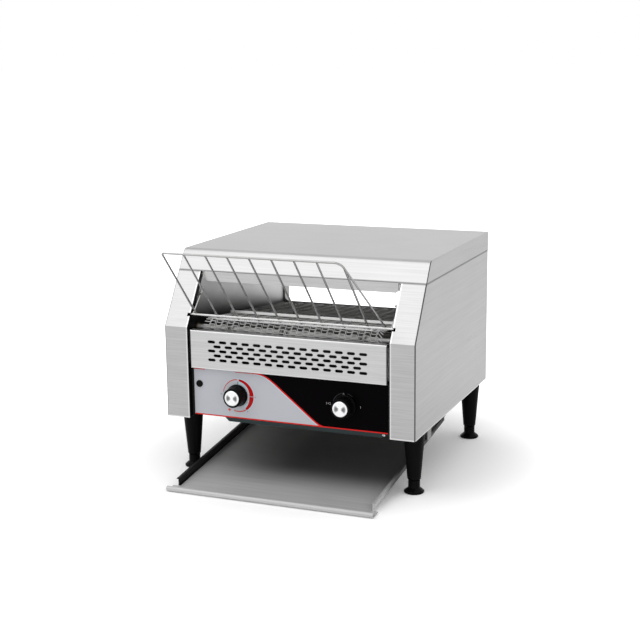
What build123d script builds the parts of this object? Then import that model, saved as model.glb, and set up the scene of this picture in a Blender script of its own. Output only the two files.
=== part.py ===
from build123d import *
import math
import os

# Countertop conveyor toaster.  Millimetres, +Z up, +X to the right of a person
# who faces the control panel, +Y towards the rear.  The origin lies on the table
# under the middle of the whole machine.

# ---------------------------------------------------------------- driving sizes
body_width = 450.0
body_depth = 430.0
body_height = 387.0
leg_height = 105.0
sheet = 1.0
base_sheet = 1.5

flange_width = 43.0
kink_height = 264.0
slant_depth = 79.5
lid_skirt = 34.5
seam = 0.4

rack_length = 161.2
rack_tilt = 42.6
rack_wire = 1.75
rack_bar = 2.0
rack_inner_wire = 1.55
rack_pitch = 38.35
rack_inner_wires = 7
rack_pivot_in = 18.0
rack_pivot_height = 283.8

belt_pitch = 13.0
wheel_teeth = 8
run_pitches = 24
belt_drop = 31.0
belt_width = 324.0
belt_wire = 1.25

tray_width = 350.0
tray_rise = 6.5

leg_x = 205.0
front_leg_in = 56.0
rear_leg_in = 388.0
foot_travel = 12.0

gland_reach = 20.0

# ---------------------------------------------------------------- worked out from them
half_width = body_width / 2
wall_x = half_width - flange_width
rack_lap = rack_bar + rack_wire
rack_reach = (
    rack_length * math.sin(math.radians(rack_tilt)) - rack_lap * math.cos(math.radians(rack_tilt))
    - rack_pivot_in + rack_wire
)
front = -(body_depth + gland_reach - rack_reach) / 2
rear = front + body_depth
lid_bottom = body_height - lid_skirt
panel_top = lid_bottom - seam
base_top = leg_height + base_sheet
rear_panel_y = rear - 28.0

wheel_radius = belt_pitch * wheel_teeth / (2 * math.pi)
shaft_spacing = belt_pitch * run_pitches
belt_angle = math.asin(belt_drop / shaft_spacing)
front_shaft_y = front + 38.0
front_shaft_z = 258.0
rear_shaft_y = front_shaft_y + shaft_spacing * math.cos(belt_angle)
rear_shaft_z = front_shaft_z - belt_drop

os.makedirs("parts", exist_ok=True)


def store(piece, label):
    """Name a finished piece and write it to its own file."""
    piece.label = label
    export_step(piece, f"parts/{label}.step")


def slant_y(height):
    """Depth of the slanted front plane at a height above the kink."""
    return front + slant_depth * (height - kink_height) / (body_height - kink_height)


def belt_line(distance, above=0.0):
    """Point (y, z) on the line of shaft centres, raised square to the belt."""
    along = Vector(math.cos(belt_angle), -math.sin(belt_angle))
    across = Vector(math.sin(belt_angle), math.cos(belt_angle))
    point = Vector(front_shaft_y, front_shaft_z) + along * distance + across * above
    return (point.X, point.Y)


def cross_plane(x):
    """Upright plane at x, drawn in depth and height."""
    return Plane.YZ.offset(x)


def front_plane(y):
    """Upright plane at y, drawn in width and height, facing the user."""
    return Plane.XZ.offset(-y)


# ================================================================ casing
# Base plate: floor of both side boxes and of the control bay.  The middle is open
# for the toast, a smaller opening serves the wiring of the control bay.  Between the
# side boxes its front edge is set back and turned up to carry the control panel.
chute_open_x = 356.0
bay_rear = front + 62.0
base_setback = 30.0
base_lip = 5.0
cover_left = -131.0
cover_right = 167.0
leg_spots = [(side * leg_x, front + depth) for side in (-1, 1) for depth in (front_leg_in, rear_leg_in)]
leg_bolt_radius = 4.0

with BuildPart() as base_plate:
    with BuildSketch(Plane.XY.offset(leg_height)):
        with Locations((0, front + body_depth / 2)):
            RectangleRounded(body_width - 2 * sheet, body_depth - 2 * sheet, 1.5)
        with Locations((0, (bay_rear + 2 + rear_panel_y) / 2)):
            Rectangle(chute_open_x, rear_panel_y - bay_rear - 2, mode=Mode.SUBTRACT)
        with Locations((0, front + base_setback / 2)):
            Rectangle(2 * wall_x, base_setback, mode=Mode.SUBTRACT)
        with Locations(((cover_left + cover_right) / 2, front + 41)):
            Rectangle(cover_right - cover_left - 42, 14, mode=Mode.SUBTRACT)
        with Locations(*leg_spots):
            Circle(leg_bolt_radius + 0.2, mode=Mode.SUBTRACT)
    extrude(amount=base_sheet)
    with Locations((0, front + base_setback + base_sheet / 2, leg_height + base_lip / 2)):
        Box(2 * (wall_x - sheet) - 1, base_sheet, base_lip)
store(base_plate.part, "base_plate")

# Side panels: folded pans with a 43 mm flange on the vertical and slanted front,
# on the rear and on top, and a tongue that stands up behind the lid's skirt.
# A notch in each slanted flange lets the rod of the feed rack into its seat, and
# the left panel has the hole of the cable gland in its rear flange.
bend_radius = 2.0
tongue = 12.0
pivot_radius = rack_bar + 0.08
rack_pivot_y = front + rack_pivot_in
rack_notch = 5.0
gland_x = -(half_width - 22.0)
gland_z = 142.0
gland_thread = 8.0

for side, label in ((-1, "left"), (1, "right")):
    with BuildPart() as side_panel:
        with BuildSketch(cross_plane(side * wall_x)):
            with BuildLine():
                Polyline(
                    (front, leg_height), (front, kink_height), (slant_y(panel_top), panel_top),
                    (rear, panel_top), (rear, leg_height), close=True,
                )
            make_face()
        extrude(amount=side * flange_width)
        outer_edges = side_panel.edges().filter_by(
            lambda e: abs(abs(e.center().X) - half_width) < 0.01 and e.center().Z > leg_height + 1
        )
        fillet(outer_edges.filter_by(lambda e: e.center().Z < panel_top - 1), bend_radius)
        inner_face = side_panel.faces().sort_by(Axis.X)[0 if side > 0 else -1]
        bottom_face = side_panel.faces().sort_by(Axis.Z)[0]
        offset(amount=-sheet, openings=[inner_face, bottom_face])
        with BuildSketch(Plane.XY.offset(panel_top - sheet)):
            with Locations((side * (half_width - 1.6 * sheet), (slant_y(lid_bottom) + 10 + rear) / 2)):
                Rectangle(sheet, rear - slant_y(lid_bottom) - 20)
        extrude(amount=tongue)
        with Locations((side * (wall_x + rack_notch / 2), rack_pivot_y - 4, rack_pivot_height)):
            Box(rack_notch, 12, 2 * pivot_radius + 1, mode=Mode.SUBTRACT)
        if side < 0:
            with BuildSketch(front_plane(rear)):
                with Locations((gland_x, gland_z)):
                    Circle(gland_thread + 0.1)
            extrude(amount=3 * sheet, both=True, mode=Mode.SUBTRACT)
    store(side_panel.part, f"{label}_side_panel")

# Inner walls: flat liners of the toasting tunnel.  They carry the belt shafts and
# the heater ends, and a slot open to the front seats the rod of the feed rack.
wall_top = panel_top - sheet
upper_heater_in = (110.0, 205.0, 300.0)
lower_heater_on = (70.0, 155.75, 241.5)
heater_radius = 5.0
holder_boss = 13.0
bush_radius = 7.0


def upper_heater_z(depth):
    """Height of an upper heater: the row runs parallel to the belt."""
    return 336.0 - (depth - upper_heater_in[0]) * math.tan(belt_angle)


upper_heater_spots = [(front + depth, upper_heater_z(depth)) for depth in upper_heater_in]
lower_heater_spots = [belt_line(distance) for distance in lower_heater_on]
heater_spots = upper_heater_spots + lower_heater_spots
shaft_spots = [(front_shaft_y, front_shaft_z), (rear_shaft_y, rear_shaft_z)]

for side, label in ((-1, "left"), (1, "right")):
    with BuildPart() as inner_wall:
        with BuildSketch(cross_plane(side * wall_x)):
            with BuildLine():
                Polyline(
                    (front + sheet, base_top), (front + sheet, kink_height),
                    (slant_y(wall_top) + 1.2 * sheet, wall_top), (rear_panel_y, wall_top),
                    (rear_panel_y, base_top), close=True,
                )
            make_face()
            with Locations(*heater_spots):
                Rectangle(holder_boss, holder_boss, mode=Mode.SUBTRACT)
            with Locations(*shaft_spots):
                Circle(bush_radius, mode=Mode.SUBTRACT)
            with Locations((rack_pivot_y, rack_pivot_height)):
                Circle(pivot_radius, mode=Mode.SUBTRACT)
            with Locations((rack_pivot_y - 5, rack_pivot_height)):
                Rectangle(10, 2 * pivot_radius, mode=Mode.SUBTRACT)
        extrude(amount=-side * sheet)
    store(inner_wall.part, f"{label}_inner_wall")

# Lid: one folded cover with a rounded front edge, a front face that lies in the
# slanted plane, and skirts on both sides and at the rear.
lid_front_radius = 12.0

with BuildPart() as top_cover:
    with BuildSketch(cross_plane(-half_width)):
        with BuildLine():
            Polyline(
                (slant_y(lid_bottom), lid_bottom), (slant_y(body_height), body_height),
                (rear, body_height), (rear, lid_bottom), close=True,
            )
        make_face()
    extrude(amount=body_width)
    top_front = top_cover.edges().filter_by(Axis.X).group_by(Axis.Z)[-1].sort_by(Axis.Y)[0]
    fillet(top_front, lid_front_radius)
    top_face = top_cover.faces().filter_by(Axis.Z).sort_by(Axis.Z)[-1]
    side_edges = top_face.edges().filter_by(Axis.Y)
    rear_edge = top_face.edges().filter_by(Axis.X).sort_by(Axis.Y)[-1:]
    fillet(side_edges + rear_edge, 1.5)
    offset(amount=-sheet, openings=top_cover.faces().filter_by(Axis.Z).sort_by(Axis.Z)[:1])
store(top_cover.part, "top_cover")

# Front baffle: strip under the lid that keeps the heat in.  It hangs from a top
# flange that reaches both inner walls.
baffle_bottom = 334.6
baffle_y = slant_y(lid_bottom) + 2.0

with BuildPart() as front_baffle:
    with BuildSketch(front_plane(baffle_y)):
        with BuildLine():
            Polyline(
                (-176, lid_bottom - 2), (-176, baffle_bottom + 3), (-172, baffle_bottom),
                (172, baffle_bottom), (176, baffle_bottom + 3), (176, lid_bottom - 2), close=True,
            )
        make_face()
    extrude(amount=-sheet)
    with Locations((0, baffle_y + 8, lid_bottom - 1.5)):
        Box(2 * (wall_x - sheet), 16, sheet)
store(front_baffle.part, "front_baffle")

# Perforated panel: five staggered rows of rounded slots below the belt's nose.
# Its side returns end in ears that are spot-welded to the inner walls.
perforated_width = 354.0
perforated_bottom = 194.0
perforated_top = 260.0
slot_length = 14.0
slot_height = 4.9
slot_pitch = 21.0
slot_row_pitch = 7.8
slot_rows = 5
slots_in_long_row = 14
slot_corner = 1.8
slot_middle_z = 226.5
return_depth = 13.0

with BuildPart() as perforated_panel:
    with BuildSketch(front_plane(front + 0.5)):
        with Locations((0, (perforated_bottom + perforated_top) / 2)):
            Rectangle(perforated_width, perforated_top - perforated_bottom)
    extrude(amount=-return_depth)
    fillet(perforated_panel.faces().sort_by(Axis.Y)[0].edges(), 1.5)
    offset(amount=-sheet, openings=perforated_panel.faces().sort_by(Axis.Y)[-1])
    with BuildSketch(front_plane(front)) as slots:
        for row in range(slot_rows):
            row_z = slot_middle_z + (row - (slot_rows - 1) / 2) * slot_row_pitch
            count = slots_in_long_row - row % 2
            with Locations((0, row_z)):
                with GridLocations(slot_pitch, 1, count, 1):
                    Rectangle(slot_length, slot_height)
        chamfer(slots.vertices(), slot_corner)
    extrude(amount=-2 * sheet - 1, mode=Mode.SUBTRACT)
    for side in (-1, 1):
        ear_inner = perforated_width / 2 - sheet
        ear_outer = wall_x - sheet
        ear_y = front + 0.5 + return_depth - sheet / 2
        ear_x = side * (ear_inner + ear_outer) / 2
        with Locations((ear_x, ear_y, (perforated_bottom + perforated_top) / 2)):
            Box(ear_outer - ear_inner, sheet, perforated_top - perforated_bottom - 10)
store(perforated_panel.part, "perforated_panel")

# ================================================================ control bay
panel_y = front + 10.0
overlay_thickness = 0.4
knob_x = (-94.4, 100.6)
knob_z = 150.6
lamp_x = -165.8
lamp_z = 165.0
bushing_radius = 4.5
lamp_radius = 5.0
panel_bottom = leg_height + base_lip
panel_height = perforated_bottom - panel_bottom

# Control panel: recessed sheet with a bottom flange that lies on the base plate's lip.
with BuildPart() as control_panel:
    with BuildSketch(front_plane(panel_y)):
        with Locations((0, panel_bottom + panel_height / 2)):
            Rectangle(2 * (wall_x - sheet), panel_height)
        with Locations((knob_x[0], knob_z), (knob_x[1], knob_z)):
            Circle(bushing_radius + 0.1, mode=Mode.SUBTRACT)
        with Locations((lamp_x, lamp_z)):
            Circle(lamp_radius + 0.1, mode=Mode.SUBTRACT)
    extrude(amount=-sheet)
    flange_depth = base_setback + base_sheet - (panel_y - front)
    with Locations((0, panel_y + flange_depth / 2, panel_bottom + sheet / 2)):
        Box(2 * (wall_x - sheet), flange_depth, sheet)
store(control_panel.part, "control_panel")

# Overlay: printed film on the control panel.
with BuildPart() as control_overlay:
    with BuildSketch(front_plane(panel_y)):
        with Locations((0, 151.1)):
            RectangleRounded(352, 81.8, 1)
        with Locations((knob_x[0], knob_z), (knob_x[1], knob_z)):
            Circle(bushing_radius + 0.3, mode=Mode.SUBTRACT)
        with Locations((lamp_x, lamp_z)):
            Circle(lamp_radius + 0.3, mode=Mode.SUBTRACT)
    extrude(amount=overlay_thickness)
store(control_overlay.part, "control_overlay")

# Bay cover: shallow pan with sloping ends, screwed under the wiring opening.
cover_drop = 8.5
cover_bevel = 9.0
with BuildPart() as control_bay_cover:
    with BuildSketch(front_plane(front + base_setback + 0.2)):
        with BuildLine():
            Polyline(
                (cover_left, leg_height), (cover_left + cover_bevel, leg_height - cover_drop),
                (cover_right - cover_bevel, leg_height - cover_drop), (cover_right, leg_height), close=True,
            )
        make_face()
    extrude(amount=-32)
    offset(amount=-sheet, openings=control_bay_cover.faces().sort_by(Axis.Z)[-1])
store(control_bay_cover.part, "control_bay_cover")

# Heat shield: rear wall of the control bay, with a foot on the base plate.
shield_top = 231.0
with BuildPart() as bay_heat_shield:
    with BuildSketch(cross_plane(-(wall_x - sheet))):
        with BuildLine():
            Polyline((bay_rear - 14, base_top + sheet / 2), (bay_rear, base_top + sheet / 2),
                     (bay_rear, shield_top), (bay_rear - 10, shield_top + 4))
        trace(line_width=sheet)
    extrude(amount=2 * (wall_x - sheet))
store(bay_heat_shield.part, "bay_heat_shield")

# Knobs: moulded skirt and grooved grip, a spun metal cap, and the spindle.
knob_gap = 0.5
knob_base_y = panel_y - overlay_thickness - knob_gap
knob_depth = 22.0
skirt_radius = 19.0
grip_radius = 17.6
grip_front_radius = 16.6
cap_radius = 13.0
spindle_radius = 3.0
grooves = 16
groove_size = 1.6

for x, label in zip(knob_x, ("speed", "mode")):
    knob_axis = Axis((x, 0, knob_z), (0, -1, 0))
    side_plane = Plane(origin=(x, knob_base_y, knob_z), x_dir=(1, 0, 0), z_dir=(0, 0, 1))
    with BuildPart() as knob:
        with BuildSketch(side_plane):
            with BuildLine():
                Polyline(
                    (spindle_radius, 0), (skirt_radius, 0), (skirt_radius, -2.5),
                    (grip_radius, -3.5), (grip_front_radius, 1.2 - knob_depth),
                    (grip_front_radius - 1.2, -knob_depth), (cap_radius, -knob_depth),
                    (cap_radius, 0.8 - knob_depth), (spindle_radius, 0.8 - knob_depth), close=True,
                )
            make_face()
        revolve(axis=knob_axis)
        with BuildSketch(front_plane(knob_base_y - 4.0)):
            with Locations((x, knob_z)):
                with PolarLocations(grip_radius + groove_size / 2, grooves, start_angle=90 + 180 / grooves):
                    RegularPolygon(groove_size, 3, rotation=180)
        extrude(amount=knob_depth, mode=Mode.SUBTRACT)
    store(knob.part, f"{label}_knob")

    with BuildPart() as knob_cap:
        with BuildSketch(Plane(origin=(x, knob_base_y - knob_depth + 0.8, knob_z),
                               x_dir=(1, 0, 0), z_dir=(0, 0, 1))):
            with BuildLine():
                Polyline((0, 0), (cap_radius, 0), (cap_radius, -1.0), (cap_radius - 1, -1.6), (0, -1.6),
                         close=True)
            make_face()
        revolve(axis=knob_axis)
    store(knob_cap.part, f"{label}_knob_cap")

    with BuildPart() as spindle:
        with BuildSketch(front_plane(knob_base_y - knob_depth + 0.8)):
            with Locations((x, knob_z)):
                Circle(spindle_radius)
        extrude(amount=-44)
    store(spindle.part, f"{label}_spindle")

# Speed potentiometer and mode switch: bodies behind the panel, each held by a
# threaded bushing that passes through the panel.
control_bore = spindle_radius + 0.06

with BuildPart() as speed_potentiometer:
    with BuildSketch(front_plane(panel_y + sheet)):
        with Locations((knob_x[0], knob_z)):
            Circle(14)
    extrude(amount=-16)
    with BuildSketch(front_plane(panel_y + sheet)):
        with Locations((knob_x[0], knob_z)):
            Circle(bushing_radius)
    extrude(amount=sheet + overlay_thickness)
    with BuildSketch(front_plane(panel_y + sheet + 6)):
        with Locations((knob_x[0], knob_z - 16)):
            Rectangle(18, 8)
    extrude(amount=-2)
    with BuildSketch(front_plane(panel_y - 5)):
        with Locations((knob_x[0], knob_z)):
            Circle(control_bore)
    extrude(amount=-50, mode=Mode.SUBTRACT)
store(speed_potentiometer.part, "speed_potentiometer")

with BuildPart() as mode_switch:
    with BuildSketch(front_plane(panel_y + sheet)):
        with Locations((knob_x[1], knob_z)):
            RectangleRounded(32, 32, 3)
    extrude(amount=-30)
    with BuildSketch(front_plane(panel_y + sheet)):
        with Locations((knob_x[1], knob_z)):
            Circle(bushing_radius)
    extrude(amount=sheet + overlay_thickness)
    with BuildSketch(front_plane(panel_y + sheet + 8)):
        with Locations((knob_x[1], knob_z)):
            with GridLocations(8, 40, 4, 2):
                Rectangle(4, 9)
    extrude(amount=-1)
    with BuildSketch(front_plane(panel_y - 5)):
        with Locations((knob_x[1], knob_z)):
            Circle(control_bore)
    extrude(amount=-50, mode=Mode.SUBTRACT)
store(mode_switch.part, "mode_switch")

# Indicator lamp: domed lens and bezel in front, barrel behind the panel.
with BuildPart() as indicator_lamp:
    with BuildSketch(Plane(origin=(lamp_x, panel_y - overlay_thickness, lamp_z),
                           x_dir=(1, 0, 0), z_dir=(0, 0, 1))):
        with BuildLine():
            Polyline(
                (0, 18), (lamp_radius, 18), (lamp_radius, 0), (6, 0), (6, -1.4), (5.2, -2.2),
                (3.8, -2.6), (2, -3.3), (0, -3.5), close=True,
            )
        make_face()
    revolve(axis=Axis((lamp_x, 0, lamp_z), (0, 1, 0)))
store(indicator_lamp.part, "indicator_lamp")

# Speed control board: circuit board with a heat sink and a relay, on four posts
# that stand on the heat shield.
board_x = 10.0
board_z = 150.0
with BuildPart() as speed_control_board:
    with BuildSketch(front_plane(bay_rear - sheet / 2 - 8)):
        with Locations((board_x, board_z)):
            Rectangle(90, 56)
    extrude(amount=1.6)
    with BuildSketch(front_plane(bay_rear - sheet / 2)):
        with Locations((board_x, board_z)):
            with GridLocations(80, 46, 2, 2):
                Circle(3)
    extrude(amount=8)
    with BuildSketch(front_plane(bay_rear - sheet / 2 - 9.6)):
        with Locations((board_x - 22, board_z)):
            Rectangle(30, 24)
            with GridLocations(6, 1, 4, 1):
                Rectangle(4, 20, mode=Mode.SUBTRACT)
        with Locations((board_x + 24, board_z + 6)):
            Rectangle(18, 20)
    extrude(amount=14)
store(speed_control_board.part, "speed_control_board")

# ================================================================ toasting tunnel
# Rear panel: recessed pan with the rounded rear window above the belt's end.
window_bottom = 236.0
window_top = 300.0
window_width = 356.0
with BuildPart() as rear_panel:
    with BuildSketch(front_plane(rear_panel_y)):
        with Locations((0, (base_top + panel_top - sheet) / 2)):
            Rectangle(2 * wall_x - 0.2, panel_top - sheet - base_top)
    extrude(amount=-(rear - rear_panel_y - 0.5))
    offset(amount=-sheet, openings=rear_panel.faces().sort_by(Axis.Y)[-1])
    with BuildSketch(front_plane(rear_panel_y)):
        with Locations((0, (window_bottom + window_top) / 2)):
            RectangleRounded(window_width, window_top - window_bottom, 10)
    extrude(amount=-3 * sheet, mode=Mode.SUBTRACT)
store(rear_panel.part, "rear_panel")

# Toast chute: sheet that hangs inside the rear panel, turns forward in a large
# bend and lets the toast slide down onto the tray.
chute_top = 230.0
chute_radius = 70.0
chute_slope = 38.0
chute_run = 48.0
with BuildPart() as toast_chute:
    with BuildSketch(cross_plane(-165)):
        with BuildLine():
            chute_back = Line((rear_panel_y - sheet / 2, chute_top), (rear_panel_y - sheet / 2, 152))
            chute_bend = JernArc(chute_back @ 1, chute_back % 1, chute_radius, -(90 - chute_slope))
            Line(chute_bend @ 1, chute_bend @ 1 + (chute_bend % 1) * chute_run)
        trace(line_width=sheet)
    extrude(amount=330)
store(toast_chute.part, "toast_chute")

# Reflectors: the upper one roofs the tunnel above the heaters, the lower one lies
# inside the belt loop under the lower heaters.
with BuildPart() as upper_reflector:
    with BuildSketch(cross_plane(-(wall_x - sheet))):
        with BuildLine():
            Polyline(
                (baffle_y + 2.5, 338), (baffle_y + 2.5, lid_bottom - 4), (front + 90, lid_bottom - 6),
                (front + 370, 332), (rear_panel_y - 1, 318),
            )
        trace(line_width=0.8)
    extrude(amount=2 * (wall_x - sheet))
store(upper_reflector.part, "upper_reflector")

with BuildPart() as lower_reflector:
    with BuildSketch(cross_plane(-(wall_x - sheet))):
        with BuildLine():
            Polyline(
                belt_line(36, -6), belt_line(42, -10), belt_line(270, -10), belt_line(276, -6),
            )
        trace(line_width=0.8)
    extrude(amount=2 * (wall_x - sheet))
store(lower_reflector.part, "lower_reflector")

# Heaters: straight tubes across the tunnel, held at both ends by flanged ceramic
# caps that fill the square holes of the inner walls.
heater_end = wall_x - 3.0
holder_flange = 19.0
holder_end = wall_x + 9.0
for spots, label in ((upper_heater_spots, "upper_heaters"), (lower_heater_spots, "lower_heaters")):
    with BuildPart() as heaters:
        with BuildSketch(cross_plane(-heater_end)):
            with Locations(*spots):
                Circle(heater_radius)
        extrude(amount=2 * heater_end)
    store(heaters.part, label)

with BuildPart() as heater_holders:
    for side in (-1, 1):
        with BuildSketch(cross_plane(side * heater_end)):
            with Locations(*heater_spots):
                Rectangle(holder_boss, holder_boss)
        extrude(amount=side * (wall_x - heater_end))
        with BuildSketch(cross_plane(side * wall_x)):
            with Locations(*heater_spots):
                Rectangle(holder_flange, holder_flange)
        extrude(amount=side * (holder_end - wall_x))
store(heater_holders.part, "heater_holders")

# ================================================================ belt drive
# Conveyor belt: closed loop of cross wires at one pitch, held by strips of short
# links.  Round a wheel the links lie as chords from wire to wire.
link_strips = 3
strip_width = 3.0
strip_thickness = 1.2
wrap_steps = wheel_teeth // 2


def wrap_corners(radius):
    """Points (y, z) round both ends of the loop, at a radius from the shafts."""
    turns = [index * math.pi / wrap_steps for index in range(wrap_steps + 1)]
    rear_end = [belt_line(shaft_spacing + radius * math.sin(t), radius * math.cos(t)) for t in turns]
    front_end = [belt_line(-radius * math.sin(t), -radius * math.cos(t)) for t in turns]
    return rear_end + front_end


def belt_stations():
    """Centres (y, z) of the cross wires, once round the loop."""
    stations = wrap_corners(wheel_radius)
    for index in range(1, run_pitches):
        stations.append(belt_line(index * belt_pitch, wheel_radius))
        stations.append(belt_line(index * belt_pitch, -wheel_radius))
    return stations


with BuildPart() as conveyor_belt:
    with BuildSketch(cross_plane(-belt_width / 2)):
        with Locations(*belt_stations()):
            RegularPolygon(belt_wire, 6)
    extrude(amount=belt_width)
    for strip in range(link_strips):
        strip_x = (strip - (link_strips - 1) / 2) * (belt_width - 14) / (link_strips - 1)
        with BuildSketch(cross_plane(strip_x - strip_width / 2)):
            with BuildLine():
                Polyline(*wrap_corners(wheel_radius + strip_thickness / 2), close=True)
            make_face()
            with BuildLine():
                Polyline(*wrap_corners(wheel_radius - strip_thickness / 2), close=True)
            make_face(mode=Mode.SUBTRACT)
        extrude(amount=strip_width)
store(conveyor_belt.part, "conveyor_belt")

# Shafts and their toothed wheels.  The teeth reach to just inside the belt wires.
shaft_radius = 5.0
chain_x = half_width - 6.5
shaft_end = wall_x + 4.0
tooth_tip = wheel_radius - belt_wire - 0.4
tooth_root = 11.5
wheel_thickness = 5.0
hub_radius = 8.5
hub_length = 6.0
wheels_x = (-120.0, -20.0, 120.0)

for spot, right_end, label in ((shaft_spots[0], shaft_end, "front"), (shaft_spots[1], chain_x + 3, "rear")):
    with BuildPart() as belt_shaft:
        with BuildSketch(cross_plane(-shaft_end)):
            with Locations(spot):
                Circle(shaft_radius)
        extrude(amount=shaft_end + right_end)
        chamfer(belt_shaft.edges().filter_by(GeomType.CIRCLE), 0.6)
    store(belt_shaft.part, f"{label}_shaft")

    with BuildPart() as belt_wheels:
        for wheel_x in wheels_x:
            with BuildSketch(cross_plane(wheel_x - wheel_thickness / 2)):
                with Locations(spot):
                    RegularPolygon(tooth_root + 0.9, wheel_teeth, rotation=90 - math.degrees(belt_angle))
                    with PolarLocations(0, wheel_teeth, start_angle=90 - math.degrees(belt_angle)):
                        with Locations((tooth_root, 0)):
                            Trapezoid(6.4, 2 * (tooth_tip - tooth_root), 76, rotation=-90)
                    Circle(shaft_radius, mode=Mode.SUBTRACT)
            extrude(amount=wheel_thickness)
            with BuildSketch(cross_plane(wheel_x + wheel_thickness / 2)):
                with Locations(spot):
                    Circle(hub_radius)
                    Circle(shaft_radius, mode=Mode.SUBTRACT)
            extrude(amount=hub_length)
    store(belt_wheels.part, f"{label}_belt_wheels")

# Bushes: flanged plain bearings pressed into the inner walls.
with BuildPart() as shaft_bushes:
    for side in (-1, 1):
        with BuildSketch(cross_plane(side * (wall_x - 2.5))):
            with Locations(*shaft_spots):
                Circle(bush_radius)
                Circle(shaft_radius + 0.06, mode=Mode.SUBTRACT)
        extrude(amount=side * 4.5)
        with BuildSketch(cross_plane(side * wall_x)):
            with Locations(*shaft_spots):
                Circle(bush_radius + 2.5)
                Circle(shaft_radius + 0.06, mode=Mode.SUBTRACT)
        extrude(amount=side * 2)
store(shaft_bushes.part, "shaft_bushes")

# Gear motor in the right side box: round can, flat gear case with two ears, and
# a bracket that stands it off the inner wall.
chain_pitch = 6.35
motor_teeth = 12
shaft_teeth = 18
motor_y = rear_shaft_y - 104.0
motor_z = 168.0
motor_radius = 30.0
motor_depth = 27.0
output_radius = 3.5
bracket_sheet = 1.5

with BuildPart() as motor_bracket:
    with BuildSketch(cross_plane(wall_x)):
        with Locations((motor_y, motor_z)):
            RectangleRounded(96, 84, 6)
            Circle(18, mode=Mode.SUBTRACT)
    extrude(amount=bracket_sheet)
    for end in (-1, 1):
        with Locations((wall_x + 5, motor_y + end * 47.25, motor_z)):
            Box(10, 1.5, 60)
store(motor_bracket.part, "motor_bracket")

with BuildPart() as gear_motor:
    with BuildSketch(cross_plane(wall_x + bracket_sheet)):
        with Locations((motor_y, motor_z)):
            Circle(motor_radius)
    extrude(amount=motor_depth)
    chamfer(gear_motor.faces().sort_by(Axis.X)[-1].edges(), 1.5)
    with BuildSketch(cross_plane(wall_x + bracket_sheet)):
        with Locations((motor_y, motor_z)):
            SlotOverall(84, 16)
            with GridLocations(70, 1, 2, 1):
                Circle(2.2, mode=Mode.SUBTRACT)
    extrude(amount=2)
    with BuildSketch(cross_plane(wall_x + bracket_sheet + motor_depth)):
        with Locations((motor_y, motor_z)):
            Circle(8)
    extrude(amount=2.5)
    with BuildSketch(cross_plane(wall_x + bracket_sheet + 14)):
        with Locations((motor_y, motor_z)):
            Circle(output_radius + 0.06)
    extrude(amount=motor_depth, mode=Mode.SUBTRACT)
store(gear_motor.part, "gear_motor")

with BuildPart() as motor_output_shaft:
    with BuildSketch(cross_plane(wall_x + bracket_sheet + 15)):
        with Locations((motor_y, motor_z)):
            Circle(output_radius)
    extrude(amount=chain_x + 3 - (wall_x + bracket_sheet + 15))
store(motor_output_shaft.part, "motor_output_shaft")


def pitch_radius(teeth):
    """Pitch radius of a chain sprocket."""
    return chain_pitch / (2 * math.sin(math.pi / teeth))


# Chain sprockets: one on the rear belt shaft, one on the motor.
sprocket_thickness = 2.8
for spot, teeth, bore, label in (
    ((motor_y, motor_z), motor_teeth, output_radius, "motor_sprocket"),
    (shaft_spots[1], shaft_teeth, shaft_radius, "shaft_sprocket"),
):
    root = pitch_radius(teeth) - 1.7
    with BuildPart() as chain_sprocket:
        with BuildSketch(cross_plane(chain_x - sprocket_thickness / 2)):
            with Locations(spot):
                RegularPolygon(root + 0.2, teeth)
                with PolarLocations(0, teeth):
                    with Locations((root, 0)):
                        Trapezoid(4.2, 2 * 3.4, 76, rotation=-90)
                Circle(bore, mode=Mode.SUBTRACT)
        extrude(amount=sprocket_thickness)
        with BuildSketch(cross_plane(chain_x + sprocket_thickness / 2)):
            with Locations(spot):
                Circle(root - 2.5)
                Circle(bore, mode=Mode.SUBTRACT)
        extrude(amount=1.6)
    store(chain_sprocket.part, label)

# Drive chain: two rows of link plates that straddle the sprockets, joined by
# rollers along both free runs.
plate_height = 5.2
plate_thickness = 0.8
plate_gap = 2.1
chain_roller = 1.7
chain_span = math.hypot(rear_shaft_y - motor_y, rear_shaft_z - motor_z)
chain_lean = math.atan2(rear_shaft_z - motor_z, rear_shaft_y - motor_y)
wrap_difference = pitch_radius(shaft_teeth) - pitch_radius(motor_teeth)
flare = math.asin(wrap_difference / chain_span)


def rim_point(centre, radius, angle):
    """Point (y, z) on a circle round a shaft."""
    return (centre[0] + radius * math.cos(angle), centre[1] + radius * math.sin(angle))


upper_angle = chain_lean + math.pi / 2 + flare
lower_angle = chain_lean - math.pi / 2 - flare
motor_spot = (motor_y, motor_z)
small_wheel = pitch_radius(motor_teeth)
large_wheel = pitch_radius(shaft_teeth)
wheel_spot = shaft_spots[1]
upper_run, lower_run = [
    (rim_point(motor_spot, small_wheel, angle), rim_point(wheel_spot, large_wheel, angle))
    for angle in (upper_angle, lower_angle)
]

with BuildPart() as drive_chain:
    for side in (-1, 1):
        with BuildSketch(cross_plane(chain_x + side * plate_gap)):
            with BuildLine():
                Line(*upper_run)
                ThreePointArc(upper_run[1], rim_point(wheel_spot, large_wheel, chain_lean), lower_run[1])
                Line(lower_run[1], lower_run[0])
                ThreePointArc(
                    lower_run[0], rim_point(motor_spot, small_wheel, chain_lean + math.pi), upper_run[0]
                )
            trace(line_width=plate_height)
        extrude(amount=side * plate_thickness)
    run_length = chain_span * math.cos(flare)
    roller_count = int((run_length - 16) // chain_pitch)
    for near, far in (upper_run, lower_run):
        step = Vector(far[0] - near[0], far[1] - near[1]).normalized() * chain_pitch
        start = Vector(*near) + step * ((run_length / chain_pitch - roller_count + 1) / 2)
        with BuildSketch(cross_plane(chain_x - plate_gap)):
            with Locations(*[tuple(start + step * index)[:2] for index in range(roller_count)]):
                RegularPolygon(chain_roller, 6)
        extrude(amount=2 * plate_gap)
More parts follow.
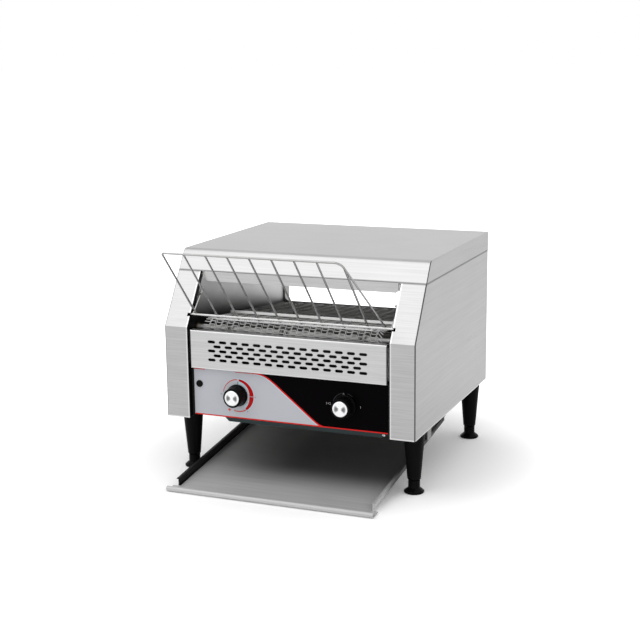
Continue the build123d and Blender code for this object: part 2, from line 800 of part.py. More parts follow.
store(drive_chain.part, "drive_chain")

# ================================================================ mains inlet
# Cable gland in the rear flange of the left side box: lock nut inside, hexagon
# body and domed clamping nut outside.
with BuildPart() as cable_gland:
    with BuildSketch(front_plane(rear + 6)):
        with Locations((gland_x, gland_z)):
            RegularPolygon(12.5, 6)
    extrude(amount=6)
    with BuildSketch(Plane(origin=(gland_x, rear + 6, gland_z), x_dir=(1, 0, 0), z_dir=(0, 0, 1))):
        with BuildLine():
            Polyline(
                (0, 0), (11, 0), (11, 7), (8.5, gland_reach - 7), (7, gland_reach - 6),
                (0, gland_reach - 6), close=True,
            )
        make_face()
    revolve(axis=Axis((gland_x, 0, gland_z), (0, 1, 0)))
    with BuildSketch(front_plane(rear)):
        with Locations((gland_x, gland_z)):
            Circle(gland_thread)
    extrude(amount=10)
    with BuildSketch(front_plane(rear - sheet)):
        with Locations((gland_x, gland_z)):
            RegularPolygon(12, 6)
    extrude(amount=5)
    with BuildSketch(front_plane(rear + gland_reach + 1)):
        with Locations((gland_x, gland_z)):
            Circle(4.5)
    extrude(amount=gland_reach + 20, mode=Mode.SUBTRACT)
store(cable_gland.part, "cable_gland")

# Terminal block on the floor of the left side box.
block_y = rear - 95.0
with BuildPart() as terminal_block:
    with Locations((gland_x, block_y, base_top + 9)):
        Box(22, 46, 18)
        with Locations((0, 0, 9)):
            with GridLocations(40, 14, 1, 3):
                Box(18, 11, 12, mode=Mode.SUBTRACT)
    with Locations((gland_x, block_y, base_top + 3)):
        with GridLocations(1, 14, 1, 3):
            Cylinder(3, 10, align=(Align.CENTER, Align.CENTER, Align.MIN))
store(terminal_block.part, "terminal_block")

# ================================================================ feed rack
# Wire rack, spot-welded: an outline wire with a tight and a round upper corner and
# straight wires at one pitch lie across two rods, the pivot rod and a foot rod
# with a cranked end.  A stay runs from the round corner to the end of the pivot
# rod, and a strut at each end of that rod leans on a stop peg.
tilt = math.radians(rack_tilt)
rack_up = Vector(0, -math.sin(tilt), math.cos(tilt))
rod_plane = Plane(
    origin=(0, rack_pivot_y, rack_pivot_height), x_dir=(1, 0, 0), z_dir=Vector(1, 0, 0).cross(rack_up)
)
outline_plane = rod_plane.offset(-rack_lap)
wire_plane = rod_plane.offset(-rack_bar - rack_inner_wire)
left_leg_x = -175.6
first_wire_x = -136.0
right_leg_x = 136.5
foot_drop = 8.0
foot_end = 10.0
corner_radii = (4.0, 14.0)
stay_drop = 11.0
stay_end_x = 167.0
strut_x = wall_x - 2.85
strut_length = 57.0
strut_radius = 1.5
strut_angle = math.radians(44)
rod_end = wall_x + 0.5

with BuildPart() as feed_rack:
    with BuildLine(outline_plane):
        outline = FilletPolyline(
            (left_leg_x, -rack_bar), (left_leg_x, rack_length), (right_leg_x, rack_length),
            (right_leg_x, -foot_end), radius=corner_radii,
        )
    with BuildSketch(Plane(origin=outline @ 0, z_dir=outline % 0)):
        Circle(rack_wire)
    sweep(path=outline)
store(feed_rack.part, "feed_rack")

# Straight wires, butted under the top of the outline, and the stay.
with BuildPart() as rack_wires:
    foot_line = wire_plane.from_local_coords((0, -foot_end, 0))
    with BuildSketch(Plane(origin=foot_line, x_dir=(1, 0, 0), z_dir=rack_up)):
        with Locations(*[(first_wire_x + index * rack_pitch, 0) for index in range(rack_inner_wires)]):
            Circle(rack_inner_wire)
    extrude(amount=foot_end + rack_length - rack_wire)
with BuildPart() as rack_stay:
    with BuildLine(wire_plane):
        stay = Line((right_leg_x, rack_length - stay_drop), (stay_end_x, -rack_bar))
    with BuildSketch(Plane(origin=stay @ 0, z_dir=stay % 0)):
        Circle(rack_inner_wire)
    sweep(path=stay)
    add(feed_rack.part, mode=Mode.SUBTRACT)
store(Compound(children=rack_wires.solids() + rack_stay.solids()), "rack_wires")

# Rods and struts, all on the far side of the wires.
with BuildPart() as rack_rods:
    with BuildSketch(cross_plane(-rod_end)):
        with Locations((rack_pivot_y, rack_pivot_height)):
            Circle(rack_bar)
    extrude(amount=2 * rod_end)
with BuildPart() as rack_foot_rod:
    with BuildLine(rod_plane):
        foot_path = FilletPolyline(
            (first_wire_x - 2, -foot_drop), (right_leg_x + 9, -foot_drop), (right_leg_x + 18, 0), radius=4,
        )
    with BuildSketch(Plane(origin=foot_path @ 0, z_dir=foot_path % 0)):
        Circle(rack_bar)
    sweep(path=foot_path)
    add(rack_rods.part, mode=Mode.SUBTRACT)
strut_way = Vector(0, math.cos(strut_angle), math.sin(strut_angle))
with BuildPart() as rack_struts:
    for side in (-1, 1):
        strut_foot = Vector(side * strut_x, rack_pivot_y, rack_pivot_height) + strut_way
        with BuildSketch(Plane(origin=strut_foot, x_dir=(1, 0, 0), z_dir=strut_way)):
            Circle(strut_radius)
        extrude(amount=strut_length)
    add(rack_rods.part, mode=Mode.SUBTRACT)
store(Compound(children=rack_rods.solids() + rack_foot_rod.solids() + rack_struts.solids()), "rack_rods")

# Stop pegs on the inner walls, just above the resting struts.
peg_radius = 2.0
peg_clear = peg_radius + strut_radius + 0.3
peg_along = 42.0
peg_y = rack_pivot_y + peg_along * math.cos(strut_angle) - peg_clear * math.sin(strut_angle)
peg_z = rack_pivot_height + peg_along * math.sin(strut_angle) + peg_clear * math.cos(strut_angle)
with BuildPart() as rack_stop_pegs:
    for side in (-1, 1):
        with BuildSketch(cross_plane(side * (wall_x - sheet))):
            with Locations((peg_y, peg_z)):
                Circle(peg_radius)
        extrude(amount=-side * 6)
store(rack_stop_pegs.part, "rack_stop_pegs")

# ================================================================ collecting tray
# Tray: sheet that slopes forward under the body, rolled front lip, low side walls.
curl_radius = 4.0
curl_width = 368.0
curl_y = front - 83.5
curl_z = curl_radius + sheet / 2 + 0.3
rise = math.radians(tray_rise)
tray_rear_y = front + 325.0
tray_wall_height = 12.0
tray_wall_front = front - 62.0
tray_lip = 3.5
floor_touch = (curl_y + curl_radius * math.sin(rise), curl_z - curl_radius * math.cos(rise))


def tray_floor(y, above=0.0):
    """Point (y, z) on the middle of the tray's floor sheet, raised square to it."""
    along = (y - floor_touch[0]) / math.cos(rise)
    return (
        floor_touch[0] + along * math.cos(rise) - above * math.sin(rise),
        floor_touch[1] + along * math.sin(rise) + above * math.cos(rise),
    )


with BuildPart() as collecting_tray:
    with BuildSketch(cross_plane(-curl_width / 2)):
        with BuildLine():
            CenterArc((curl_y, curl_z), curl_radius, tray_rise - 90, -230)
            Line(floor_touch, tray_floor(tray_wall_front))
        trace(line_width=sheet)
    extrude(amount=curl_width)
    with BuildSketch(cross_plane(-tray_width / 2)):
        with BuildLine():
            Line(tray_floor(tray_wall_front), tray_floor(tray_rear_y))
        trace(line_width=sheet)
    extrude(amount=tray_width)
    for side, slot_depths in ((-1, (268,)), (1, (170, 268))):
        with BuildSketch(cross_plane(side * tray_width / 2)):
            with BuildLine():
                Polyline(
                    tray_floor(tray_wall_front), tray_floor(tray_rear_y),
                    tray_floor(tray_rear_y, tray_wall_height),
                    tray_floor(tray_wall_front + 3, tray_wall_height), close=True,
                )
            make_face()
            for slot_depth in slot_depths:
                with Locations(tray_floor(front + slot_depth, tray_wall_height / 2)):
                    Rectangle(24, 4, rotation=tray_rise, mode=Mode.SUBTRACT)
        extrude(amount=-side * sheet)
        with BuildSketch(cross_plane(side * (tray_width / 2 - sheet))):
            with BuildLine():
                Polyline(
                    tray_floor(tray_wall_front + 3, tray_wall_height - sheet),
                    tray_floor(tray_rear_y, tray_wall_height - sheet),
                    tray_floor(tray_rear_y, tray_wall_height),
                    tray_floor(tray_wall_front + 3, tray_wall_height), close=True,
                )
            make_face()
        extrude(amount=side * (tray_lip + sheet))
store(collecting_tray.part, "collecting_tray")

# Tray hangers: narrow brackets under the base plate whose feet carry the flanges
# of the tray's walls.
hanger_front = front + 205.0
hanger_rear = front + 225.0
hanger_x = tray_width / 2 + tray_lip + 1.5
foot_reach = 4.0
foot_top = tray_wall_height - sheet - 0.3
for side, label in ((-1, "left"), (1, "right")):
    with BuildPart() as tray_hanger:
        foot_underside = foot_top - base_sheet
        foot_corners = (
            tray_floor(hanger_front, foot_underside), tray_floor(hanger_rear, foot_underside),
            tray_floor(hanger_rear, foot_top), tray_floor(hanger_front, foot_top),
        )
        with BuildSketch(cross_plane(side * hanger_x)):
            with BuildLine():
                Polyline(
                    *foot_corners[:2], (hanger_rear, leg_height), (hanger_front, leg_height), close=True,
                )
            make_face()
        extrude(amount=side * base_sheet)
        with BuildSketch(cross_plane(side * hanger_x)):
            with BuildLine():
                Polyline(*foot_corners, close=True)
            make_face()
        extrude(amount=-side * foot_reach)
        hanger_middle = (hanger_front + hanger_rear) / 2
        with Locations((side * (hanger_x + 11), hanger_middle, leg_height - base_sheet / 2)):
            Box(22, hanger_rear - hanger_front, base_sheet)
    store(tray_hanger.part, f"{label}_tray_hanger")

# ================================================================ legs
# Leg: tapered moulding with a collar at the top; a levelling foot screws into it.
leg_top_radius = 18.0
leg_bottom_radius = 11.3
leg_bottom = 24.0
stud_radius = 5.0
stud_top = leg_bottom + foot_travel + 20
bore_top = stud_top + 4
neck_radius = 10.0
pad_radius = 17.0

for (x, y), label in zip(leg_spots, ("front_left", "rear_left", "front_right", "rear_right")):
    leg_plane = Plane(origin=(x, y, 0), x_dir=(1, 0, 0), z_dir=(0, -1, 0))
    leg_axis = Axis((x, y, 0), (0, 0, 1))
    with BuildPart() as leg:
        with BuildSketch(leg_plane):
            with BuildLine():
                Polyline(
                    (0, bore_top), (stud_radius + 0.06, bore_top), (stud_radius + 0.06, leg_bottom),
                    (leg_bottom_radius, leg_bottom), (leg_top_radius - 0.6, leg_height - 8),
                    (leg_top_radius, leg_height - 6),
                    (leg_top_radius, leg_height), (leg_bolt_radius, leg_height),
                    (leg_bolt_radius, leg_height - 22), (0, leg_height - 22), close=True,
                )
            make_face()
        revolve(axis=leg_axis)
    store(leg.part, f"leg_{label}")

    with BuildPart() as foot:
        with BuildSketch(leg_plane):
            with BuildLine():
                Polyline(
                    (0, 0), (pad_radius - 1, 0), (pad_radius, 1.2), (pad_radius, 3.2),
                    (pad_radius - 1.5, 4.6), (neck_radius, 9), (neck_radius, leg_bottom - 2),
                    (stud_radius, leg_bottom - 2),
                    (stud_radius, stud_top), (0, stud_top), close=True,
                )
            make_face()
        revolve(axis=leg_axis)
    store(foot.part, f"foot_{label}")

# Leg bolts: hexagon heads on the base plate, shanks down into the legs.
with BuildPart() as leg_bolts:
    with BuildSketch(Plane.XY.offset(base_top)):
        with Locations(*leg_spots):
            RegularPolygon(7.5, 6)
    extrude(amount=5.5)
    with BuildSketch(Plane.XY.offset(base_top)):
        with Locations(*leg_spots):
            Circle(leg_bolt_radius)
    extrude(amount=-22)
store(leg_bolts.part, "leg_bolts")
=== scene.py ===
import math

import bmesh
import bpy
from mathutils import Matrix, Vector


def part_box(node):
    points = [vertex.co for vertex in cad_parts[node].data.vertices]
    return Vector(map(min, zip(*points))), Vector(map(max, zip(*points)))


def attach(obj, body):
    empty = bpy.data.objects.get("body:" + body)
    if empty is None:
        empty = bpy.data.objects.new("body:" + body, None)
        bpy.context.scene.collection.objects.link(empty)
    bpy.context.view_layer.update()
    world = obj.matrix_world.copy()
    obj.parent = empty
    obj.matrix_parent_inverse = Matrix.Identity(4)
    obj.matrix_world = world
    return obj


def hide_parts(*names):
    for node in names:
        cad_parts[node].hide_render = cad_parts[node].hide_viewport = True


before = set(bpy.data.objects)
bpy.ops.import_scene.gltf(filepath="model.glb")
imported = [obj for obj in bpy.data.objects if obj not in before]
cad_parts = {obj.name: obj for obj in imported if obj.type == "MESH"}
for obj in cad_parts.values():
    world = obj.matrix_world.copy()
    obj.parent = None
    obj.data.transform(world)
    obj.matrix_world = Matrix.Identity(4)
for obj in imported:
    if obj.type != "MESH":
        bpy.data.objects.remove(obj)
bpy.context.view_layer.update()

# ---------------------------------------------------------------- casing sheet
# The casing is folded from 1 mm stainless sheet with a brushed face.  The lid is screwed
# over the side panels.  The grain of the lid, the front pieces and the side panels' front
# flanges runs across the machine, and that of the sides from front to back.
STAINLESS = (0.445, 0.445, 0.445)
# The front pieces take a lighter copy of the same stainless: painted light.
LIT_FRONT_STAINLESS = (0.54, 0.54, 0.54)
LID_GRAIN = (6, 170, 420)
LID_END_GRAIN = (420, 6, 420)
SIDE_GRAIN = (14, 560, 560)
SIDE_END_GRAIN = (380, 6, 380)
CASING_SHEEN = (0.26, 0.38)
FRONT_SHEEN = (0.3, 0.42)
SIDE_TURN = 0.7
BRUSHING = 0.10
BAND_LINES = 6
BAND_SHARE = 0.12
GRAIN_STRENGTH = 0.4
GRAIN_DEPTH = 0.00004
HANDLING_LUMPS = (9, 9, 9)
HANDLING_SHARE = 0.3
# Rounded rims are lightened: a painted highlight.
RIM_HIGHLIGHT = (0.88, 0.88, 0.88)
RIM_REACH = (0.0014, 0.0026)
RIM_HIGHLIGHT_SHARE = 0.55
# The bends between front and sides are darkened: painted shade.
BEND_SHADE = (0.03, 0.03, 0.03)
BEND_TURN = (0.06, 0.2)
BEND_DARKNESS = 0.85
NOISE_RANGE = (0.3, 0.7)
# The sheet next to the lid's lower edge is darkened: painted shade under that edge.
LID_EDGE = 0.3522
EDGE_REACH = (0.0013, 0.0021)
EDGE_DARKNESS = 0.5


def add(tree, kind, feeds=None, **settings):
    """A shader node with its settings, and its sockets set to values or fed by other sockets."""
    node = tree.nodes.new("ShaderNode" + kind)
    for name, value in settings.items():
        setattr(node, name, value)
    for socket, value in (feeds or {}).items():
        if isinstance(value, bpy.types.NodeSocket):
            tree.links.new(value, node.inputs[socket])
        else:
            node.inputs[socket].default_value = value
    return node


def reckon(tree, operation, *values):
    """The result of one step of arithmetic on sockets and numbers."""
    return add(tree, "Math", dict(enumerate(values)), operation=operation).outputs[0]


def ramp(tree, value, start, end, low=0.0, high=1.0, smooth=False):
    """A value socket that runs from low to high as another runs from start to end."""
    feeds = {"Value": value, 1: start, 2: end, 3: low, 4: high}
    course = "SMOOTHSTEP" if smooth else "LINEAR"
    return add(tree, "MapRange", feeds, interpolation_type=course).outputs[0]


def between(tree, share, first, second):
    """A value socket that runs from the first value to the second with the share."""
    return add(tree, "Mix", {0: share, 2: first, 3: second}).outputs[0]


def blend(tree, share, first, second):
    """A colour socket that runs from the first colour to the second with the share."""
    ends = [end if isinstance(end, bpy.types.NodeSocket) else (*end, 1) for end in (first, second)]
    return add(tree, "Mix", {0: share, 6: ends[0], 7: ends[1]}, data_type="RGBA").outputs[2]


def shades(tree, share, colour, darker, lighter):
    """A colour socket that runs from a darker to a lighter shade of one colour."""
    dark, light = ([channel * amount for channel in colour] for amount in (darker, lighter))
    return blend(tree, share, dark, light)


def spread(tree, marks, low, high):
    """A value socket that runs from low to high as a noise goes through its middle range."""
    return ramp(tree, marks, *NOISE_RANGE, low, high)


def own_place(tree):
    """The place on the piece, in metres."""
    return add(tree, "TexCoord").outputs["Object"]


def facing(tree, kind="True Normal"):
    """The X, Y and Z of the way that the surface looks."""
    return add(tree, "SeparateXYZ", {0: add(tree, "NewGeometry").outputs[kind]}).outputs


def noise(tree, place, lumps, detail=3.0):
    """Noise at a number of lumps per metre, which may differ along the three axes."""
    stretched = add(tree, "Mapping", {"Vector": place, "Scale": lumps}).outputs[0]
    return add(tree, "TexNoise", {"Vector": stretched, "Scale": 1.0, "Detail": detail}).outputs[0]


def new_finish(name, colour, metallic=0.0, roughness=0.5, gloss=0.5):
    """A material whose shader has these plain values; returns it with its tree and shader."""
    material = bpy.data.materials.new(name)
    material.use_nodes = True
    shader = material.node_tree.nodes["Principled BSDF"]
    shader.inputs["Base Color"].default_value = (*colour, 1)
    shader.inputs["Metallic"].default_value = metallic
    shader.inputs["Roughness"].default_value = roughness
    shader.inputs["Specular IOR Level"].default_value = gloss
    return material, material.node_tree, shader


def roughen(tree, shader, marks, strength, depth):
    """Gives a shader bumps from a noise."""
    bumps = add(tree, "Bump", {"Height": marks, "Strength": strength, "Distance": depth})
    tree.links.new(bumps.outputs[0], shader.inputs["Normal"])


def brushed(name, colour, grain, sheen=CASING_SHEEN, end_grain=None, cut_edge=None, rims=()):
    """Brushed metal. grain gives lumps per metre along X, Y and Z; faces that look along X
    take end_grain instead where it is given.  The bends between the front and the sides are
    painted darker, painted shade, and so is the sheet next to cut_edge, a height, painted
    shade under that edge.  rims lists (axis, place) of rounded edges, which are lightened as a
    painted highlight; both sides of the machine count for X."""
    material, tree, shader = new_finish(name, colour, metallic=1.0)
    place = own_place(tree)
    lines = noise(tree, place, grain)
    bands = noise(tree, place, [lumps / BAND_LINES for lumps in grain])
    if end_grain:
        sideways = reckon(tree, "ABSOLUTE", facing(tree)[0])
        on_side = reckon(tree, "GREATER_THAN", sideways, SIDE_TURN)
        side_bands = noise(tree, place, [lumps / BAND_LINES for lumps in end_grain])
        lines = between(tree, on_side, lines, noise(tree, place, end_grain))
        bands = between(tree, on_side, bands, side_bands)
    both = between(tree, BAND_SHARE, lines, bands)
    contrast = spread(tree, both, 0.0, 1.0)
    sheet_colour = shades(tree, contrast, colour, 1 - BRUSHING, 1 + BRUSHING)
    spots = add(tree, "SeparateXYZ", {0: place}).outputs
    # Painted highlight: the sheet is lightened along each rim.
    for axis, edge in rims:
        past = reckon(tree, "SUBTRACT", reckon(tree, "ABSOLUTE", spots[axis]), edge)
        near = ramp(tree, reckon(tree, "ABSOLUTE", past), *RIM_REACH, RIM_HIGHLIGHT_SHARE, 0.0)
        sheet_colour = blend(tree, near, sheet_colour, RIM_HIGHLIGHT)
    # Painted shade: the sheet is darkened in the bends between the front and the sides.
    way = facing(tree, "Normal")
    corner = reckon(tree, "ABSOLUTE", reckon(tree, "MULTIPLY", way[0], way[1]))
    dark = ramp(tree, corner, *BEND_TURN, 0.0, BEND_DARKNESS)
    # Painted shade: the sheet is darkened next to the lid's edge.
    if cut_edge:
        past = reckon(tree, "SUBTRACT", spots[2], cut_edge)
        near = ramp(tree, reckon(tree, "ABSOLUTE", past), *EDGE_REACH, EDGE_DARKNESS, 0.0)
        dark = reckon(tree, "MAXIMUM", dark, near)
    shaded_bend = blend(tree, dark, sheet_colour, BEND_SHADE)
    tree.links.new(shaded_bend, shader.inputs["Base Color"])
    handled = noise(tree, place, HANDLING_LUMPS)
    worn = between(tree, HANDLING_SHARE, both, handled)
    tree.links.new(spread(tree, worn, *sheen), shader.inputs["Roughness"])
    roughen(tree, shader, lines, GRAIN_STRENGTH, GRAIN_DEPTH)
    return material


def dress(material, *nodes):
    """Gives CAD nodes a finish."""
    for name in nodes:
        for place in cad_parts[name].material_slots:
            place.link = "OBJECT"
            place.material = material


side_low, side_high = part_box("left_side_panel")
guard_low, guard_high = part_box("perforated_panel")
lid_steel = brushed("lid_steel", STAINLESS, LID_GRAIN, end_grain=LID_END_GRAIN, cut_edge=LID_EDGE)
side_steel = brushed(
    "side_steel", STAINLESS, SIDE_GRAIN, end_grain=SIDE_END_GRAIN, cut_edge=LID_EDGE,
    rims=((0, -side_high.x), (2, side_low.z)),
)
front_steel = brushed(
    "front_steel", LIT_FRONT_STAINLESS, SIDE_GRAIN, FRONT_SHEEN,
    rims=((0, guard_high.x), (2, guard_low.z), (2, guard_high.z)),
)
dress(lid_steel, "top_cover")
dress(side_steel, "left_side_panel", "right_side_panel")
dress(front_steel, "perforated_panel", "front_baffle")

# ---------------------------------------------------------------- inner sheet
# Base, control panel, reflectors, heat shield, chute and rear sheet are folded from plain
# mill-finish or zinc-coated steel, duller than the casing, and are fixed to its flanges.
# The base plate and the heat shield are near black: painted shade, for the shadow under the
# body.  The control panel is near black as well, and the bay cover a dark teal grey.
MILL_SHEET = (0.36, 0.36, 0.355)
HEATED_SHEET = (0.82, 0.81, 0.79)
PANEL_SHEET = (0.03, 0.03, 0.03)
# Near black: painted shade for the shadow under the body.
SHADE_DARK_ZINC_SHEET = (0.06, 0.06, 0.06)
COVER_SHEET = (0.045, 0.06, 0.062)
CLOUD_LUMPS = (14, 14, 14)
CLOUD_SHARE = 0.5
ROLLING_LUMPS = (12, 160, 160)
MILL_CONTRAST = (0.8, 1.2)
MILL_SHEEN = (0.34, 0.52)
MILL_SKIN = (0.3, 0.0001)
HEATED_SHEEN = (0.4, 0.6)
HEATED_METALLIC = 0.4
ZINC_SHEEN = (0.5, 0.65)
COVER_SHEEN = (0.5, 0.6)


def mill_sheet(name, colour, sheen=MILL_SHEEN, metallic=1.0):
    """Unbrushed sheet: fine rolling lines across, with cloudy patches."""
    material, tree, shader = new_finish(name, colour, metallic)
    place = own_place(tree)
    rolling = noise(tree, place, ROLLING_LUMPS)
    both = between(tree, CLOUD_SHARE, noise(tree, place, CLOUD_LUMPS, detail=5), rolling)
    tree.links.new(shades(tree, both, colour, *MILL_CONTRAST), shader.inputs["Base Color"])
    tree.links.new(spread(tree, both, *sheen), shader.inputs["Roughness"])
    roughen(tree, shader, rolling, *MILL_SKIN)
    return material


inner_steel = mill_sheet("inner_steel", MILL_SHEET)
heated_steel = mill_sheet("heated_steel", HEATED_SHEET, HEATED_SHEEN, HEATED_METALLIC)
shade_dark_zinc = mill_sheet("shade_dark_zinc", SHADE_DARK_ZINC_SHEET, ZINC_SHEEN)
dress(inner_steel, "rear_panel", "motor_bracket", "toast_chute")
dress(inner_steel, "left_tray_hanger", "right_tray_hanger")
dress(heated_steel, "upper_reflector", "lower_reflector")
# The base plate and the heat shield take the painted shade.
dress(shade_dark_zinc, "base_plate", "bay_heat_shield")
dress(mill_sheet("panel_steel", PANEL_SHEET, ZINC_SHEEN), "control_panel")
dress(mill_sheet("cover_steel", COVER_SHEET, COVER_SHEEN), "control_bay_cover")

# ---------------------------------------------------------------- tunnel walls
# Two walls of the same sheet line the toasting tunnel and carry the shafts and the rack.
# The sheet is painted near black along the belt, more so low down and towards the front:
# painted shade in the tunnel.  Their slanted front edges are painted dark too: painted shade
# behind the flanges.
WALL_SHEET = (0.62, 0.62, 0.62)
WALL_SHEEN = (0.36, 0.5)
TUNNEL_SHADE = (0.006, 0.006, 0.006)
TUNNEL_SHADE_LEVEL = 0.2462
TUNNEL_SHADE_FALL = 0.17
TUNNEL_SHADE_FADE = 0.060
KINK_HEIGHT = 0.264
SLANT_RUN = 0.6463
DARK_EDGE = 0.009
DARK_EDGE_FADE = 0.003

wall_steel = mill_sheet("wall_steel", WALL_SHEET, WALL_SHEEN)
tree = wall_steel.node_tree
shader = tree.nodes["Principled BSDF"]
unshaded_wall = shader.inputs["Base Color"].links[0].from_socket
spots = add(tree, "SeparateXYZ", {0: own_place(tree)}).outputs
# Painted shade: near black low down along the belt and along the slanted front edge.
along_belt = reckon(tree, "MULTIPLY_ADD", spots[1], TUNNEL_SHADE_FALL, spots[2])
above_tunnel_shade = ramp(tree, along_belt, TUNNEL_SHADE_LEVEL, TUNNEL_SHADE_LEVEL + TUNNEL_SHADE_FADE, smooth=True)
over_kink = reckon(tree, "MAXIMUM", reckon(tree, "SUBTRACT", spots[2], KINK_HEIGHT), 0.0)
from_front = reckon(tree, "MULTIPLY_ADD", over_kink, -SLANT_RUN, spots[1])
edge_start = side_low.y + DARK_EDGE
off_edge = ramp(tree, from_front, edge_start, edge_start + DARK_EDGE_FADE)
unshaded_share = reckon(tree, "MULTIPLY", above_tunnel_shade, off_edge)
tree.links.new(blend(tree, unshaded_share, TUNNEL_SHADE, unshaded_wall), shader.inputs["Base Color"])
dress(wall_steel, "left_inner_wall", "right_inner_wall")

# ---------------------------------------------------------------- heaters
# Six sheathed heating rods lie in pairs over and under the belt.  Their ends sit in square
# ceramic holders.  The sheath is oxidised to a dark grey with a faint bronze cast.
SHEATH = (0.10, 0.095, 0.09)
CERAMIC = (0.72, 0.69, 0.62)


def grained(name, colour, lumps, contrast, sheen, metallic=0.0, gloss=0.5, detail=3.0, skin=None):
    """A finish whose colour runs between two shades with a fine noise, and its roughness
    between the two values of sheen.  skin gives the strength and depth of bumps with it."""
    material, tree, shader = new_finish(name, colour, metallic, gloss=gloss)
    marks = noise(tree, own_place(tree), lumps, detail)
    tree.links.new(shades(tree, marks, colour, *contrast), shader.inputs["Base Color"])
    tree.links.new(spread(tree, marks, *sheen), shader.inputs["Roughness"])
    if skin:
        roughen(tree, shader, marks, *skin)
    return material


sheath = grained(
    "heater_sheath", SHEATH, lumps=(60, 300, 300), contrast=(0.6, 1.5), sheen=(0.4, 0.65),
    metallic=0.8, detail=4,
)
ceramic = grained(
    "ceramic", CERAMIC, lumps=(700, 700, 700), contrast=(0.88, 1.06), sheen=(0.55, 0.75),
    detail=2, skin=(0.4, 0.0001),
)
dress(sheath, "upper_heaters", "lower_heaters")
dress(ceramic, "heater_holders", "terminal_block")

# ---------------------------------------------------------------- conveyor belt
# Flat wire belt.  Each strand is one wire bent forward in narrow hooks that lap round the
# next strand, so that the belt flexes only along its run.  Every second strand lies in a
# gap of the belt wheels' teeth.  The wire is heat-darkened stainless.
BELT_PITCH = 0.013
RUN_PITCHES = 24
WHEEL_TEETH = 8
STRANDS_A_TOOTH = 2
STRAND_RADIUS = 0.0009
STRAND_LIFT = 0.0006
WAVES = 15
WAVE_REACH = 0.0083
WAVE_SLOPE = 0.0016
BELT_STEEL = (0.50, 0.50, 0.495)

belt_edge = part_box("conveyor_belt")[1].x
front_low, front_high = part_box("front_shaft")
rear_low, rear_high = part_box("rear_shaft")
front_axis = (front_low + front_high) / 2
rear_axis = (rear_low + rear_high) / 2
run_way = Vector((0, rear_axis.y - front_axis.y, rear_axis.z - front_axis.z)).normalized()
run_up = Vector((0, -run_way.z, run_way.y))
wheel_radius = BELT_PITCH * WHEEL_TEETH / (2 * math.pi)
run_length = BELT_PITCH * RUN_PITCHES
wrap_length = math.pi * wheel_radius
belt_length = 2 * (run_length + wrap_length)


def on_belt(x, distance, lift=0.0):
    """The point at x and at a distance along the loop, lifted outwards from the belt's middle."""
    distance = distance % belt_length
    start = Vector((x, front_axis.y, front_axis.z))
    radius = wheel_radius + lift
    if distance < run_length:
        return start + run_way * distance + run_up * radius
    if distance < run_length + wrap_length:
        turn = (distance - run_length) / wheel_radius
        end = start + run_way * run_length
        return end + run_way * radius * math.sin(turn) + run_up * radius * math.cos(turn)
    if distance < 2 * run_length + wrap_length:
        back = distance - run_length - wrap_length
        return start + run_way * (run_length - back) - run_up * radius
    turn = (distance - 2 * run_length - wrap_length) / wheel_radius
    return start - run_way * radius * math.sin(turn) - run_up * radius * math.cos(turn)


def strand(distance):
    """One strand's path from the left edge of the belt to the right: square waves that reach
    over the next strand and dip under it again."""
    edge = belt_edge - STRAND_RADIUS
    half_wave = edge / WAVES
    path = [on_belt(-edge, distance)]
    for half in range(1, 2 * WAVES):
        x = -edge + half * half_wave
        rising = half % 2 == 1
        slope = WAVE_SLOPE if rising else -WAVE_SLOPE
        low = on_belt(x - slope, distance, -STRAND_LIFT)
        high = on_belt(x + slope, distance + WAVE_REACH, STRAND_LIFT)
        path += [low, high] if rising else [high, low]
    path.append(on_belt(edge, distance))
    return path


def wires(name, paths, radius):
    """A mesh of round wires, one along each path."""
    line = bpy.data.curves.new(name, "CURVE")
    line.dimensions = "3D"
    line.bevel_depth = radius
    line.bevel_resolution = 2
    line.use_fill_caps = True
    for path in paths:
        spline = line.splines.new("POLY")
        spline.points.add(len(path) - 1)
        for point, spot in zip(spline.points, path):
            point.co = (*spot, 1)
    drawn = bpy.data.objects.new(name, line)
    bpy.context.scene.collection.objects.link(drawn)
    mesh = bpy.data.meshes.new_from_object(drawn)
    bpy.data.objects.remove(drawn)
    bpy.data.curves.remove(line)
    mesh.shade_smooth()
    return mesh


def shown(name, mesh, material, body):
    """Puts a finished mesh in the scene as a piece that rides on a body."""
    piece = bpy.data.objects.new(name, mesh)
    bpy.context.scene.collection.objects.link(piece)
    mesh.materials.clear()
    mesh.materials.append(material)
    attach(piece, body)
    return piece


belt_steel = grained(
    "belt_steel", BELT_STEEL, lumps=(18, 26, 26), contrast=(0.2, 1.7), sheen=(0.32, 0.5),
    metallic=0.3, detail=4,
)
strand_count = (2 * RUN_PITCHES + WHEEL_TEETH) * STRANDS_A_TOOTH
strands = [strand(index * BELT_PITCH / STRANDS_A_TOOTH) for index in range(strand_count)]
belt_mesh = wires("flat_wire_belt", strands, STRAND_RADIUS)
belt = shown("flat_wire_belt", belt_mesh, belt_steel, "housing")
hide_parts("conveyor_belt")

# ---------------------------------------------------------------- belt flight
# A bright flat strip of steel stands across the belt and pushes the slices along.  It is
# clipped on a strand at both ends, leans back a little and has rounded edges.
FLIGHT_SPOT = 0.080
FLIGHT_BOTTOM = 0.0012
FLIGHT_TOP = 0.0064
FLIGHT_THICKNESS = 0.0012
FLIGHT_LEAN = 14
FLIGHT_ROUNDING = 0.4
FLIGHT_INSET = 0.004
FLIGHT_STEEL = (0.80, 0.80, 0.79)


def made(shape, name):
    """A mesh from a bmesh, with its faces turned outwards."""
    bmesh.ops.recalc_face_normals(shape, faces=shape.faces)
    mesh = bpy.data.meshes.new(name)
    shape.to_mesh(mesh)
    shape.free()
    return mesh


